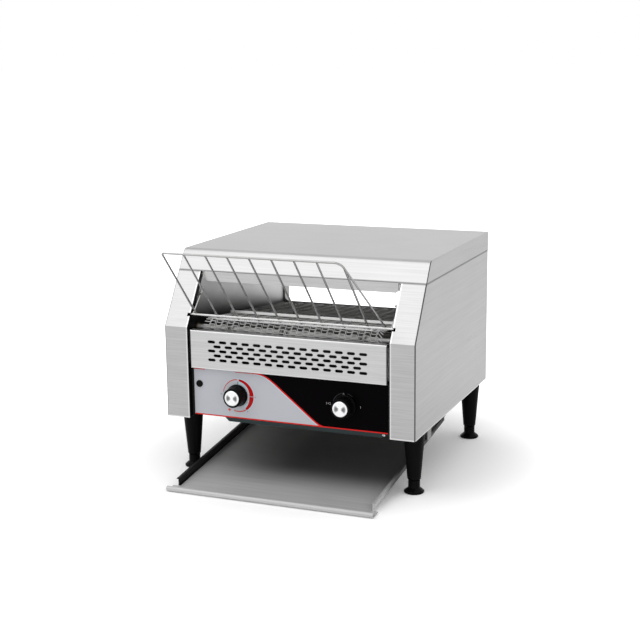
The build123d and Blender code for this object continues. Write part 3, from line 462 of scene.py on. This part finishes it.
joint_steel = grained(
    "joint_steel", FLIGHT_STEEL, lumps=(30, 500, 500), contrast=(0.85, 1.1), sheen=(0.25, 0.4),
    metallic=1.0,
)
reach = belt_edge - FLIGHT_INSET
base = on_belt(-reach, FLIGHT_SPOT)
lean = math.radians(FLIGHT_LEAN)
up = Vector((0, math.sin(lean), math.cos(lean)))
half = Vector((0, -math.cos(lean), math.sin(lean))) * FLIGHT_THICKNESS / 2
low, high = base + up * FLIGHT_BOTTOM, base + up * FLIGHT_TOP
shape = bmesh.new()
corners = (low - half, low + half, high + half, high - half)
end = shape.faces.new([shape.verts.new(corner) for corner in corners])
raised = bmesh.ops.extrude_face_region(shape, geom=[end])
far = [item for item in raised["geom"] if isinstance(item, bmesh.types.BMVert)]
bmesh.ops.translate(shape, verts=far, vec=(2 * reach, 0, 0))
long_edges = [edge for edge in shape.edges if abs(edge.verts[0].co.x - edge.verts[1].co.x) > reach]
bmesh.ops.bevel(
    shape, geom=long_edges, offset=FLIGHT_THICKNESS * FLIGHT_ROUNDING, affect="EDGES", segments=3,
    profile=0.5, material=-1,
)
shown("belt_flight", made(shape, "belt_flight"), joint_steel, "housing")

# ---------------------------------------------------------------- screws
# Round-headed steel screws hold the lid, the rear sheet and the cover of the control bay.
# They are driven from outside into the folded flanges, and have a round socket.
SCREW_STEEL = (0.70, 0.70, 0.69)
LID_SCREW = (0.0032, 0.0018)
SHEET_SCREW = (0.0030, 0.0016)
COVER_SCREW = (0.0029, 0.0016)
MERGE_SHARE = 0.01
SCREW_OUTLINE = (
    (0, 0), (1, 0), (1, 0.3), (0.82, 0.8), (0.45, 1), (0.38, 1), (0.34, 0.45), (0, 0.45),
)
SCREW_STEPS = 14
SHEET = 0.001
LID_SCREW_ROW = (-0.19, 0, 0.19)
SHEET_SCREW_ROW = (-0.166, 0, 0.166)
SHEET_SCREWS_UP = 0.015
SHEET_SCREWS_DOWN = 0.017
COVER_SCREW_IN = 0.0060
COVER_SCREW_DOWN = 0.0038

screw_steel = grained(
    "screw_steel", SCREW_STEEL, lumps=(700, 700, 700), contrast=(0.85, 1.1), sheen=(0.2, 0.35),
    metallic=1.0,
)


def screws(name, spots, turn, size):
    """Round screw heads at the spots.  turn is a quarter turn about X that stands them up,
    and size is the head's radius and height."""
    radius, height = size
    shape = bmesh.new()
    edge = [shape.verts.new((across * radius, 0, up * height)) for across, up in SCREW_OUTLINE]
    sides = [shape.edges.new(pair) for pair in zip(edge, edge[1:])]
    bmesh.ops.spin(
        shape, geom=edge + sides, cent=(0, 0, 0), axis=(0, 0, 1), angle=2 * math.pi,
        steps=SCREW_STEPS, use_merge=True,
    )
    bmesh.ops.remove_doubles(shape, verts=shape.verts, dist=radius * MERGE_SHARE)
    bmesh.ops.recalc_face_normals(shape, faces=shape.faces)
    bmesh.ops.rotate(shape, verts=shape.verts, matrix=Matrix.Rotation(turn, 3, "X"))
    head = shape.verts[:] + shape.edges[:] + shape.faces[:]
    copies = [bmesh.ops.duplicate(shape, geom=head)["geom"] for spot in spots[1:]]
    for geometry, spot in zip([head] + copies, spots):
        verts = [item for item in geometry if isinstance(item, bmesh.types.BMVert)]
        bmesh.ops.translate(shape, verts=verts, vec=spot)
    mesh = made(shape, name)
    mesh.shade_smooth()
    shown(name, mesh, screw_steel, "housing")


lid_low, lid_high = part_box("top_cover")
sheet_low, sheet_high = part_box("rear_panel")
cover_low, cover_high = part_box("control_bay_cover")
skirt = (lid_low.z + lid_high.z) / 2
rear_face = sheet_low.y + SHEET
sheet_rows = (sheet_low.z + SHEET_SCREWS_UP, sheet_high.z - SHEET_SCREWS_DOWN)
lid_spots = [(x, lid_high.y, skirt) for x in LID_SCREW_ROW]
sheet_spots = [(x, rear_face, z) for x in SHEET_SCREW_ROW for z in sheet_rows]
cover_spots = [(cover_high.x - COVER_SCREW_IN, cover_low.y, cover_high.z - COVER_SCREW_DOWN)]
screws("lid_screws", lid_spots, -math.pi / 2, LID_SCREW)
screws("rear_sheet_screws", sheet_spots, -math.pi / 2, SHEET_SCREW)
screws("bay_cover_screw", cover_spots, math.pi / 2, COVER_SCREW)

# ---------------------------------------------------------------- shafts, wheels and chain
# Turned steel shafts run in flanged bronze bushes.  The belt wheels and the sprockets are
# cut from plate, and the chain is dark with oil.
SHAFT_STEEL = (0.46, 0.455, 0.44)
WORN_SHAFT = (0.44, 0.44, 0.435)
OILED_STEEL = (0.26, 0.255, 0.25)
BRONZE = (0.16, 0.12, 0.07)
TOOL_MARKS = (900, 60, 60)
TOOL_CONTRAST = (0.85, 1.12)


def turned_metal(name, colour, sheen):
    """Machined metal with faint tool marks."""
    return grained(name, colour, TOOL_MARKS, TOOL_CONTRAST, sheen, metallic=1.0)


shaft_steel = turned_metal("shaft_steel", SHAFT_STEEL, sheen=(0.22, 0.36))
chain_steel = turned_metal("chain_steel", OILED_STEEL, sheen=(0.35, 0.5))
dress(shaft_steel, "rack_stop_pegs", "motor_output_shaft", "leg_bolts")
dress(shaft_steel, "speed_spindle", "mode_spindle")
dress(turned_metal("worn_shaft_steel", WORN_SHAFT, sheen=(0.5, 0.6)), "front_shaft", "rear_shaft")
dress(chain_steel, "drive_chain", "motor_sprocket", "shaft_sprocket")
dress(chain_steel, "front_belt_wheels", "rear_belt_wheels")
dress(turned_metal("bronze", BRONZE, sheen=(0.4, 0.55)), "shaft_bushes")

# ---------------------------------------------------------------- gear motor
# A can motor with a flat zinc gear case, bolted to its bracket inside the right side box.
# The case is a die casting with a fine sandy skin.
CAST_ZINC = (0.38, 0.38, 0.39)

motor_metal = grained(
    "motor_metal", CAST_ZINC, lumps=(420, 420, 420), contrast=(0.82, 1.12), sheen=(0.42, 0.6),
    metallic=0.9, detail=4, skin=(0.35, 0.0001),
)
dress(motor_metal, "gear_motor")

# ---------------------------------------------------------------- wire rack
# The feed rack is welded from bright stainless wire: an outline, straight wires and a stay
# on two rods.  Drawing leaves fine lines along the wire.  Near-black blobs round the straight
# wires' lower ends are painted shade, for the shadows at the ends.
WIRE_STEEL = (0.40, 0.40, 0.395)
ROD_STEEL = (0.60, 0.60, 0.595)
END_SHADE_BLACK = (0.012, 0.011, 0.010)
RACK_TILT = 42.6
RACK_PIVOT = (-0.161949, 0.2838)
WIRE_PITCH = 0.03835
INNER_WIRE = 0.00155
INNER_WIRES = 7
OUTLINE_LEG = 0.1365
FOOT_BELOW_PIVOT = 0.0100
FOOT_BEHIND_PIVOT = 0.00355
END_SHADE_OVERLAP = 0.0006
END_SHADE_LENGTH = 0.0014
END_SHADE_RADIUS = 0.0024

wire_steel = grained(
    "wire_steel", WIRE_STEEL, lumps=(500, 500, 30), contrast=(0.88, 1.1), sheen=(0.16, 0.28),
    metallic=1.0,
)
end_shade_finish = grained(
    "painted_end_shade", END_SHADE_BLACK, lumps=(600, 600, 600), contrast=(0.6, 1.6), sheen=(0.5, 0.7),
    metallic=0.5,
)
dress(wire_steel, "feed_rack", "rack_wires")
dress(turned_metal("rod_steel", ROD_STEEL, sheen=(0.2, 0.34)), "rack_rods")
tilt = math.radians(RACK_TILT)
wire_way = Vector((0, -math.sin(tilt), math.cos(tilt)))
face_way = Vector((0, -math.cos(tilt), -math.sin(tilt)))
foot = Vector((0, *RACK_PIVOT)) - wire_way * FOOT_BELOW_PIVOT - face_way * FOOT_BEHIND_PIVOT
first_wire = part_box("rack_wires")[0].x + INNER_WIRE
# Painted shade: near-black blobs at the wires' lower ends.
end_shades = []
for x in [first_wire + index * WIRE_PITCH for index in range(INNER_WIRES)] + [OUTLINE_LEG]:
    wire_end = foot + Vector((x, 0, 0))
    end_shades.append([wire_end + wire_way * END_SHADE_OVERLAP, wire_end - wire_way * END_SHADE_LENGTH])
end_shade_mesh = wires("wire_end_shades", end_shades, END_SHADE_RADIUS)
shown("wire_end_shades", end_shade_mesh, end_shade_finish, "feed_rack")

# ---------------------------------------------------------------- control strip
# Printed film on the control panel: a pale grey field for the speed dial and a black field
# for the mode dial, parted by a red S-shaped line with a blue-grey edge.  A red rule runs
# along the bottom, and short ones along the top.
FILM_GREY = (0.45, 0.46, 0.495)
FILM_BLACK = (0.0012, 0.0008, 0.0012)
PRINT_RED = (0.60, 0.012, 0.010)
PRINT_BLUE = (0.42, 0.58, 0.64)
INK = 0.00008
DIVIDER_X = 0.0040
DIVIDER_Z = 0.1530
DIVIDER_FALL = 0.81
TOP_BEND = 0.022
BOTTOM_BEND = 0.014
DIVIDER_HALF = 0.0013
DIVIDER_REACH = (-0.066, 0.062)
PALE_BAND = 0.0030
PALE_REACH = (-0.058, 0.058)
DIVIDER_STEPS = 60
SLOPE_STEP = 0.0005
PRINT_MARGIN = 0.0001
RULE_INSET = 0.0004
BOTTOM_RULE = 0.0021
CORNER_RULE = 0.021
CORNER_RULE_DOWN = (0.0016, 0.0004)
TOP_RULE = (-0.098, -0.063)
TOP_RULE_DOWN = (0.0018, 0.0010)
PEEL_LUMPS = (900, 900, 900)
PEEL_CONTRAST = (0.97, 1.03)
PEEL_SKIN = (0.1, 0.00005)
MOTTLE_LUMPS = (500, 500, 500)
MOTTLE_CONTRAST = (0.93, 1.07)

film_low, film_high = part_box("control_overlay")
film, tree, shader = new_finish("film", FILM_GREY, roughness=0.32, gloss=0.02)
place = own_place(tree)
spots = add(tree, "SeparateXYZ", {0: place}).outputs
level_at_middle = DIVIDER_Z + DIVIDER_FALL * DIVIDER_X
slope_z = reckon(tree, "MULTIPLY_ADD", spots[0], -DIVIDER_FALL, level_at_middle)
bent_z = reckon(tree, "SMOOTH_MIN", slope_z, film_high.z, TOP_BEND)
divider_z = reckon(tree, "SMOOTH_MAX", bent_z, film_low.z, BOTTOM_BEND)
is_black = reckon(tree, "GREATER_THAN", spots[2], divider_z)
orange_peel = noise(tree, place, PEEL_LUMPS, detail=1)
grey_field = shades(tree, orange_peel, FILM_GREY, *PEEL_CONTRAST)
tree.links.new(blend(tree, is_black, grey_field, FILM_BLACK), shader.inputs["Base Color"])
roughen(tree, shader, orange_peel, *PEEL_SKIN)
dress(film, "control_overlay")


def ink(name, colour):
    """Screen-printed ink: satin, with a faint unevenness."""
    material, tree, shader = new_finish(name, colour, roughness=0.36, gloss=0.1)
    mottle = noise(tree, own_place(tree), MOTTLE_LUMPS)
    tree.links.new(shades(tree, mottle, colour, *MOTTLE_CONTRAST), shader.inputs["Base Color"])
    return material


def printed(name, outlines, material, layer=1):
    """Flat printed shapes on the film. Each outline is a list of (x, z) points."""
    shape = bmesh.new()
    for outline in outlines:
        corners = [shape.verts.new((x, film_low.y - (layer - 1) * INK, z)) for x, z in outline]
        shape.faces.new(corners)
    raised = bmesh.ops.extrude_face_region(shape, geom=shape.faces[:])
    fronts = [item for item in raised["geom"] if isinstance(item, bmesh.types.BMVert)]
    bmesh.ops.translate(shape, verts=fronts, vec=(0, -INK, 0))
    shown(name, made(shape, name), material, "housing")


def smooth_lower(first, second, bend):
    """The lower of two values, with the corner between them rounded."""
    near = max(bend - abs(first - second), 0) / bend
    return min(first, second) - near ** 3 * bend / 6


def divider_height(x):
    """The height of the S-shaped line at x."""
    slope = DIVIDER_Z - DIVIDER_FALL * (x - DIVIDER_X)
    bent = smooth_lower(slope, film_high.z, TOP_BEND)
    return -smooth_lower(-bent, -film_low.z, BOTTOM_BEND)


def divider_band(x_low, x_high, below, above):
    """The outline of a band along the S-shaped line, between two offsets square to it."""
    lower, upper = [], []
    for index in range(DIVIDER_STEPS + 1):
        x = x_low + (x_high - x_low) * index / DIVIDER_STEPS
        height = divider_height(x)
        fall = (height - divider_height(x + SLOPE_STEP)) / SLOPE_STEP
        square = Vector((fall, 1)).normalized()
        for spots, offset in ((lower, -below), (upper, above)):
            z = max(height + offset * square.y, film_low.z + PRINT_MARGIN)
            spots.append((x + offset * square.x, min(z, film_high.z - PRINT_MARGIN)))
    return lower + upper[::-1]


def strip(x_low, x_high, z_low, z_high):
    """The outline of an upright rectangle."""
    return [(x_low, z_low), (x_high, z_low), (x_high, z_high), (x_low, z_high)]


red_ink = ink("red_ink", PRINT_RED)
blue_ink = ink("blue_ink", PRINT_BLUE)
pale_band = divider_band(*PALE_REACH, below=PALE_BAND, above=0.0)
red_band = divider_band(*DIVIDER_REACH, below=DIVIDER_HALF, above=DIVIDER_HALF)
printed("divider_edge", [pale_band], blue_ink)
printed("divider_line", [red_band], red_ink, layer=2)
rule_start, rule_end = film_low.x + RULE_INSET, film_high.x - RULE_INSET
corner_rule = [film_high.z - down for down in CORNER_RULE_DOWN]
top_rule = [film_high.z - down for down in TOP_RULE_DOWN]
rules = [
    strip(rule_start, rule_end, film_low.z + PRINT_MARGIN, film_low.z + BOTTOM_RULE),
    strip(rule_start, film_low.x + CORNER_RULE, *corner_rule),
    strip(*TOP_RULE, *top_rule),
]
printed("edge_rules", rules, red_ink, layer=3)

# ---------------------------------------------------------------- dial marks
# The speed dial has a red ring that swells from a hairline to a thick crescent with a pale
# edge, and short ticks.  The mode dial has a pale hairline ring and numbers.
DARK_RED = (0.42, 0.003, 0.003)
PALE_RED = (0.52, 0.10, 0.09)
PRINT_WHITE = (0.32, 0.32, 0.33)
PRINT_GREY = (0.10, 0.11, 0.12)
PRINT_DIM = (0.035, 0.035, 0.04)
RING_RADIUS = 0.0288
RING_SHIFT = Vector((0.0013, 0, -0.0003))
GROWING_HOURS = (12.12, 14.97)
GROWING_INNER = (0.0250, 0.0208)
WANING_HOURS = (15.03, 16.95)
WANING_INNER = (0.0208, 0.0248)
WANING_BEND = 1.5
FIRST_HAIRLINE = (9.3, 11.88)
FIRST_WIDTHS = (0.0013, 0.0020)
LAST_HAIRLINE = (17.0, 18.6)
LAST_WIDTHS = (0.0022, 0.0016)
END_DOT = (19.1, 0.0293, 0.0333, 0.0042)
PALE_HOURS = (12.0, 17.0)
PALE_WIDTH = 0.0013
PALE_INNER = (0.0203, 0.0252)
THIN_PALE_HOURS = (9.3, 12.0)
THIN_PALE_WIDTH = 0.0008
TICK_HOURS = (9, 15, 16.9)
TICK = (0.0304, 0.0330, 0.0010)
TOP_TICK = (12, 0.0195, 0.0245, 0.0014)
MODE_RING = (0.0210, 0.0219)
MODE_ARCS = ((9.6, 11.6), (12.4, 13.3))
NUMBER_HEIGHT = 0.0058
BOTH_MARK = (0.0292, 9.1)
OFF_MARK = (0.0196, 11.8)
ONE_MARK = (0.0276, 15)
ARC_STEPS = 28

speed_low, speed_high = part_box("speed_knob")
mode_low, mode_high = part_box("mode_knob")
speed_axis = (speed_low + speed_high) / 2
mode_axis = (mode_low + mode_high) / 2
ring_axis = speed_axis + RING_SHIFT


def on_dial(axis, radius, clock):
    """The point (x, z) on a dial at a radius and a clock hour."""
    turn = math.radians(90 - clock * 30)
    return (axis.x + radius * math.cos(turn), axis.z + radius * math.sin(turn))


def arc_band(axis, start, end, inner, outer=RING_RADIUS, swell=1.0):
    """The outline of a ring's part between two clock hours.  Its inner and outer edges are
    radii, or pairs of radii that they run between; swell bends that run."""
    edges = []
    for edge in (inner, outer):
        first, last = edge if isinstance(edge, tuple) else (edge, edge)
        spots = []
        for part in [index / ARC_STEPS for index in range(ARC_STEPS + 1)]:
            radius = first + (last - first) * part ** swell
            spots.append(on_dial(axis, radius, start + (end - start) * part))
        edges.append(spots)
    return edges[1] + edges[0][::-1]


def tick(axis, clock, start, end, width):
    """The outline of a short radial line."""
    low, high = Vector(on_dial(axis, start, clock)), Vector(on_dial(axis, end, clock))
    side = (high - low).orthogonal().normalized() * width / 2
    return [low - side, high - side, high + side, low + side]


first_inner, last_inner = (
    tuple(RING_RADIUS - width for width in widths) for widths in (FIRST_WIDTHS, LAST_WIDTHS)
)
crescent = [
    arc_band(ring_axis, *GROWING_HOURS, GROWING_INNER),
    arc_band(ring_axis, *WANING_HOURS, WANING_INNER, swell=WANING_BEND),
]
hairlines = [
    arc_band(ring_axis, *FIRST_HAIRLINE, first_inner),
    arc_band(ring_axis, *LAST_HAIRLINE, last_inner),
    tick(ring_axis, *END_DOT),
]
pale_edges = [
    arc_band(ring_axis, *PALE_HOURS, RING_RADIUS, RING_RADIUS + PALE_WIDTH),
    arc_band(ring_axis, *PALE_HOURS, *PALE_INNER),
    arc_band(ring_axis, *THIN_PALE_HOURS, RING_RADIUS, RING_RADIUS + THIN_PALE_WIDTH),
]
ticks = [tick(ring_axis, clock, *TICK) for clock in TICK_HOURS] + [tick(ring_axis, *TOP_TICK)]
mode_arcs = [arc_band(mode_axis, *hours, *MODE_RING) for hours in MODE_ARCS]
printed("speed_ring_edge", pale_edges, blue_ink)
printed("speed_ring", crescent, ink("dark_red_ink", DARK_RED), layer=2)
printed("speed_hairlines", hairlines, ink("pale_red_ink", PALE_RED), layer=2)
printed("speed_ticks", ticks, ink("grey_ink", PRINT_GREY), layer=2)
printed("mode_ring", mode_arcs, ink("dim_ink", PRINT_DIM))


def number(name, digits, spot, material):
    """A printed number centred on a spot (x, z) of the film."""
    words = bpy.data.curves.new(name, "FONT")
    words.body = digits
    words.size = NUMBER_HEIGHT
    words.align_x = "CENTER"
    words.align_y = "CENTER"
    words.extrude = INK / 2
    drawn = bpy.data.objects.new(name, words)
    bpy.context.scene.collection.objects.link(drawn)
    mesh = bpy.data.meshes.new_from_object(drawn)
    bpy.data.objects.remove(drawn)
    upright = Matrix.Rotation(math.pi / 2, 4, "X")
    mesh.transform(Matrix.Translation((spot[0], film_low.y - INK / 2, spot[1])) @ upright)
    shown(name, mesh, material, "housing")


white_ink = ink("white_ink", PRINT_WHITE)
number("mode_mark_both", "1+2", on_dial(mode_axis, *BOTH_MARK), white_ink)
number("mode_mark_off", "0", on_dial(mode_axis, *OFF_MARK), white_ink)
number("mode_mark_one", "1", on_dial(mode_axis, *ONE_MARK), white_ink)

# ---------------------------------------------------------------- knobs
# Moulded black knobs with a grooved grip.  A spun aluminium cap with fine rings is pressed in
# the face of each, and two darker wedges on it are a painted reflection.
KNOB_BLACK = (0.002, 0.002, 0.002)
ALUMINIUM = (0.84, 0.84, 0.85)
RINGS_A_METRE = 2600.0
WEDGES = 2.0
RING_SHEEN = (0.22, 0.4)
RING_SKIN = (0.3, 0.00003)
WEDGE_LIGHT = 1.05
WEDGE_SHADE = 0.22
WEDGE_WAVE = (-0.2, 0.9)
WEDGE_START = (0.0015, 0.0045)
WEDGE_END = (0.0115, 0.0080)

knob_plastic = grained(
    "knob_plastic", KNOB_BLACK, lumps=(1500, 1500, 1500), contrast=(0.8, 1.3), sheen=(0.28, 0.4),
    gloss=0.05, detail=2,
)
dress(knob_plastic, "speed_knob", "mode_knob")


def spun_cap(name, axis):
    """Spun aluminium with rings round the knob's axis; two darker wedges are painted in its
    colour, a painted reflection.
    """
    material, tree, shader = new_finish(name, ALUMINIUM, metallic=1.0)
    shift = {"Vector": own_place(tree), "Location": (-axis.x, 0, -axis.z)}
    centred = add(tree, "SeparateXYZ", {0: add(tree, "Mapping", shift).outputs[0]}).outputs
    flat = add(tree, "CombineXYZ", {0: centred[0], 2: centred[2]}).outputs[0]
    radius = add(tree, "VectorMath", {0: flat}, operation="LENGTH").outputs[1]
    turns = {"W": reckon(tree, "MULTIPLY", radius, RINGS_A_METRE), "Scale": 1.0, "Detail": 2.0}
    rings = add(tree, "TexNoise", turns, noise_dimensions="1D").outputs[0]
    # Painted reflection: two darker wedges across the cap.
    angle = reckon(tree, "ARCTAN2", centred[2], centred[0])
    wave = reckon(tree, "COSINE", reckon(tree, "MULTIPLY", angle, WEDGES))
    wedges = ramp(tree, wave, *WEDGE_WAVE, smooth=True)
    inner = ramp(tree, radius, *WEDGE_START, smooth=True)
    outer = ramp(tree, radius, *WEDGE_END, smooth=True)
    painted_wedge_shade = reckon(tree, "MULTIPLY", wedges, reckon(tree, "MULTIPLY", inner, outer))
    painted_wedge_sheen = shades(tree, painted_wedge_shade, ALUMINIUM, WEDGE_LIGHT, WEDGE_SHADE)
    tree.links.new(painted_wedge_sheen, shader.inputs["Base Color"])
    tree.links.new(spread(tree, rings, *RING_SHEEN), shader.inputs["Roughness"])
    roughen(tree, shader, rings, *RING_SKIN)
    return material


dress(spun_cap("speed_cap_metal", speed_axis), "speed_knob_cap")
dress(spun_cap("mode_cap_metal", mode_axis), "mode_knob_cap")

# ---------------------------------------------------------------- lamp and switches
# The indicator lamp is a black snap-in bezel with a dark lens.  The speed control and the
# mode switch behind the panel are black phenolic, and the speed board is green laminate.
LAMP_BLACK = (0.002, 0.002, 0.002)
NYLON_BLACK = (0.010, 0.010, 0.011)
BOARD_GREEN = (0.015, 0.11, 0.05)
TRACKS_A_METRE = 260.0
TRACK_CONTRAST = (0.6, 1.8)

lamp_plastic = grained(
    "lamp_plastic", LAMP_BLACK, lumps=(600, 600, 600), contrast=(0.85, 1.2), sheen=(0.14, 0.24),
    gloss=0.08, detail=1,
)
black_nylon = grained(
    "black_nylon", NYLON_BLACK, lumps=(800, 800, 800), contrast=(0.8, 1.4), sheen=(0.42, 0.6),
    gloss=0.3,
)
dress(lamp_plastic, "indicator_lamp")
dress(black_nylon, "cable_gland", "speed_potentiometer", "mode_switch")

circuit_board, tree, shader = new_finish("circuit_board", BOARD_GREEN, roughness=0.4)
cells = {"Vector": own_place(tree), "Scale": TRACKS_A_METRE}
tracks = add(tree, "TexVoronoi", cells, distance="MANHATTAN").outputs[0]
laminate = shades(tree, tracks, BOARD_GREEN, *TRACK_CONTRAST)
tree.links.new(laminate, shader.inputs["Base Color"])
dress(circuit_board, "speed_control_board")

# ---------------------------------------------------------------- legs and feet
# Tapered legs moulded in black nylon hold threaded feet.  The mould leaves a satin skin on
# the legs, and the feet are a little glossier.
LEG_BLACK = (0.0025, 0.0025, 0.0025)
FOOT_BLACK = (0.003, 0.003, 0.003)
FLOW_LUMPS = (30, 30, 8)
FLOW_CONTRAST = (0.8, 1.25)
MOULD_LUMPS = (1100, 1100, 1100)
MOULD_SKIN = (0.15, 0.00008)


def moulded_black(name, colour, sheen):
    """Black moulding with a fine even grain."""
    material, tree, shader = new_finish(name, colour, gloss=0.05)
    place = own_place(tree)
    flow = noise(tree, place, FLOW_LUMPS)
    tree.links.new(shades(tree, flow, colour, *FLOW_CONTRAST), shader.inputs["Base Color"])
    tree.links.new(spread(tree, flow, *sheen), shader.inputs["Roughness"])
    roughen(tree, shader, noise(tree, place, MOULD_LUMPS, detail=2), *MOULD_SKIN)
    return material


leg_plastic = moulded_black("leg_plastic", LEG_BLACK, sheen=(0.34, 0.42))
foot_plastic = moulded_black("foot_plastic", FOOT_BLACK, sheen=(0.18, 0.24))
for corner in ("front_left", "rear_left", "front_right", "rear_right"):
    dress(leg_plastic, f"leg_{corner}")
    dress(foot_plastic, f"foot_{corner}")

# ---------------------------------------------------------------- collecting tray
# The tray is one sheet that slopes forward under the body, with a rolled front lip and low
# side walls.  Its grain runs across and use has dulled it.  Its inner part is darkened towards
# the back, less so at the left, as painted shade under the body, and the inner faces of its
# side walls and the whole left wall behind the lip are near black, painted shade.
TRAY_STEEL = (0.50, 0.50, 0.50)
TRAY_GRAIN = (7, 420, 420)
TRAY_SHEEN = (0.5, 0.6)
TRAY_METALLIC = 0.45
TRAY_SHADE = (0.07, 0.07, 0.07)
TRAY_WALL_SHADE = (0.006, 0.006, 0.006)
TRAY_SHADE_FROM = -0.215
TRAY_SHADE_TO = -0.110
TRAY_SHADE_LEFT = -0.15
TRAY_SHADE_LEFT_SHARE = 0.5
WALL_FACE = -0.15
LEFT_WALL = -0.1706
LIP_BACK = -0.2410

tray_steel = brushed("tray_steel", TRAY_STEEL, TRAY_GRAIN, TRAY_SHEEN)
tree = tray_steel.node_tree
shader = tree.nodes["Principled BSDF"]
shader.inputs["Metallic"].default_value = TRAY_METALLIC
bare = shader.inputs["Base Color"].links[0].from_socket
spots = add(tree, "SeparateXYZ", {0: own_place(tree)}).outputs
# Painted shade: darker towards the back, less so at the left.
deep = ramp(tree, spots[1], TRAY_SHADE_FROM, TRAY_SHADE_TO, smooth=True)
inside = ramp(tree, spots[0], TRAY_SHADE_LEFT, 0.0, TRAY_SHADE_LEFT_SHARE, 1.0, smooth=True)
bare = blend(tree, reckon(tree, "MULTIPLY", deep, inside), bare, TRAY_SHADE)
# Painted shade: the side walls' inner faces and the left wall behind the lip are near black.
inward = reckon(tree, "MULTIPLY", spots[0], facing(tree)[0])
inner_face = reckon(tree, "LESS_THAN", inward, WALL_FACE)
left_wall = reckon(tree, "LESS_THAN", spots[0], LEFT_WALL)
behind_lip = reckon(tree, "GREATER_THAN", spots[1], LIP_BACK)
left_wall = reckon(tree, "MULTIPLY", left_wall, behind_lip)
dark_share = reckon(tree, "MAXIMUM", inner_face, left_wall)
tree.links.new(blend(tree, dark_share, bare, TRAY_WALL_SHADE), shader.inputs["Base Color"])
dress(tray_steel, "collecting_tray")

# ---------------------------------------------------------------- floor, lights, camera
# A pale floor that keeps the shadow, a white surround, and soft lamps: one high at the
# front left, a weaker one at the right.
FLOOR_HALF = 30.0
FLOOR_WHITE = (0.94, 0.94, 0.94)
GLOW_NEAR = 0.27
GLOW_FAR = 0.68
GLOW_LOW = 0.05
GLOW_HIGH = 0.8
KEY_SPOT = (-1.0, -1.7, 2.9)
KEY_TARGET = (0, 0, 0.15)
FILL_SPOT = (2.2, -0.8, 1.6)
FILL_TARGET = (0, 0, 0.2)
CAMERA_SPOT = (0.85254, -2.09129, 0.73357)
CAMERA_YAW = 22.46
CAMERA_PITCH = 12.00
CAMERA_ROLL = -0.68
CAMERA_LENS = 73.41
SENSOR_WIDTH = 36.0

floor_finish, tree, shader = new_finish("floor", FLOOR_WHITE, roughness=0.9, gloss=0.0)
seen = add(tree, "LightPath").outputs["Is Camera Ray"]
distance = add(tree, "VectorMath", {0: own_place(tree)}, operation="LENGTH").outputs[1]
glow = ramp(tree, distance, GLOW_NEAR, GLOW_FAR, GLOW_LOW, GLOW_HIGH, smooth=True)
tree.links.new(reckon(tree, "MULTIPLY", seen, glow), shader.inputs["Emission Strength"])
shader.inputs["Emission Color"].default_value = (1, 1, 1, 1)
ground = bmesh.new()
bmesh.ops.create_grid(ground, x_segments=1, y_segments=1, size=FLOOR_HALF)
ground_mesh = bpy.data.meshes.new("floor")
ground.to_mesh(ground_mesh)
ground.free()
ground_mesh.materials.append(floor_finish)
floor = bpy.data.objects.new("floor", ground_mesh)
bpy.context.scene.collection.objects.link(floor)

world = bpy.data.worlds.new("studio")
bpy.context.scene.world = world
world.use_nodes = True
surround = world.node_tree.nodes["Background"]
surround.inputs["Color"].default_value = (1, 1, 1, 1)
surround.inputs["Strength"].default_value = 1.0


def softbox(name, spot, target, size, power):
    """A square soft lamp that looks at a target."""
    lamp = bpy.data.lights.new(name, "AREA")
    lamp.size = size
    lamp.energy = power
    holder = bpy.data.objects.new(name, lamp)
    holder.location = spot
    holder.rotation_euler = (Vector(target) - Vector(spot)).to_track_quat("-Z", "Y").to_euler()
    bpy.context.scene.collection.objects.link(holder)


softbox("key_lamp", KEY_SPOT, KEY_TARGET, size=2.6, power=25)
softbox("fill_lamp", FILL_SPOT, FILL_TARGET, size=1.6, power=2)

lens_data = bpy.data.cameras.new("camera")
lens_data.lens = CAMERA_LENS
lens_data.sensor_width = SENSOR_WIDTH
camera = bpy.data.objects.new("camera", lens_data)
bpy.context.scene.collection.objects.link(camera)
yaw, pitch, roll = (math.radians(angle) for angle in (CAMERA_YAW, CAMERA_PITCH, CAMERA_ROLL))
level_ahead = Vector((-math.sin(yaw), math.cos(yaw), 0))
ahead = level_ahead * math.cos(pitch) - Vector((0, 0, math.sin(pitch)))
level_right = Vector((math.cos(yaw), math.sin(yaw), 0))
level_up = level_right.cross(ahead)
right = math.cos(roll) * level_right + math.sin(roll) * level_up
up = math.cos(roll) * level_up - math.sin(roll) * level_right
turn = Matrix((right, up, -ahead)).transposed()
camera.matrix_world = Matrix.Translation(CAMERA_SPOT) @ turn.to_4x4()
bpy.context.scene.camera = camera
bpy.context.scene.view_settings.view_transform = "Standard"
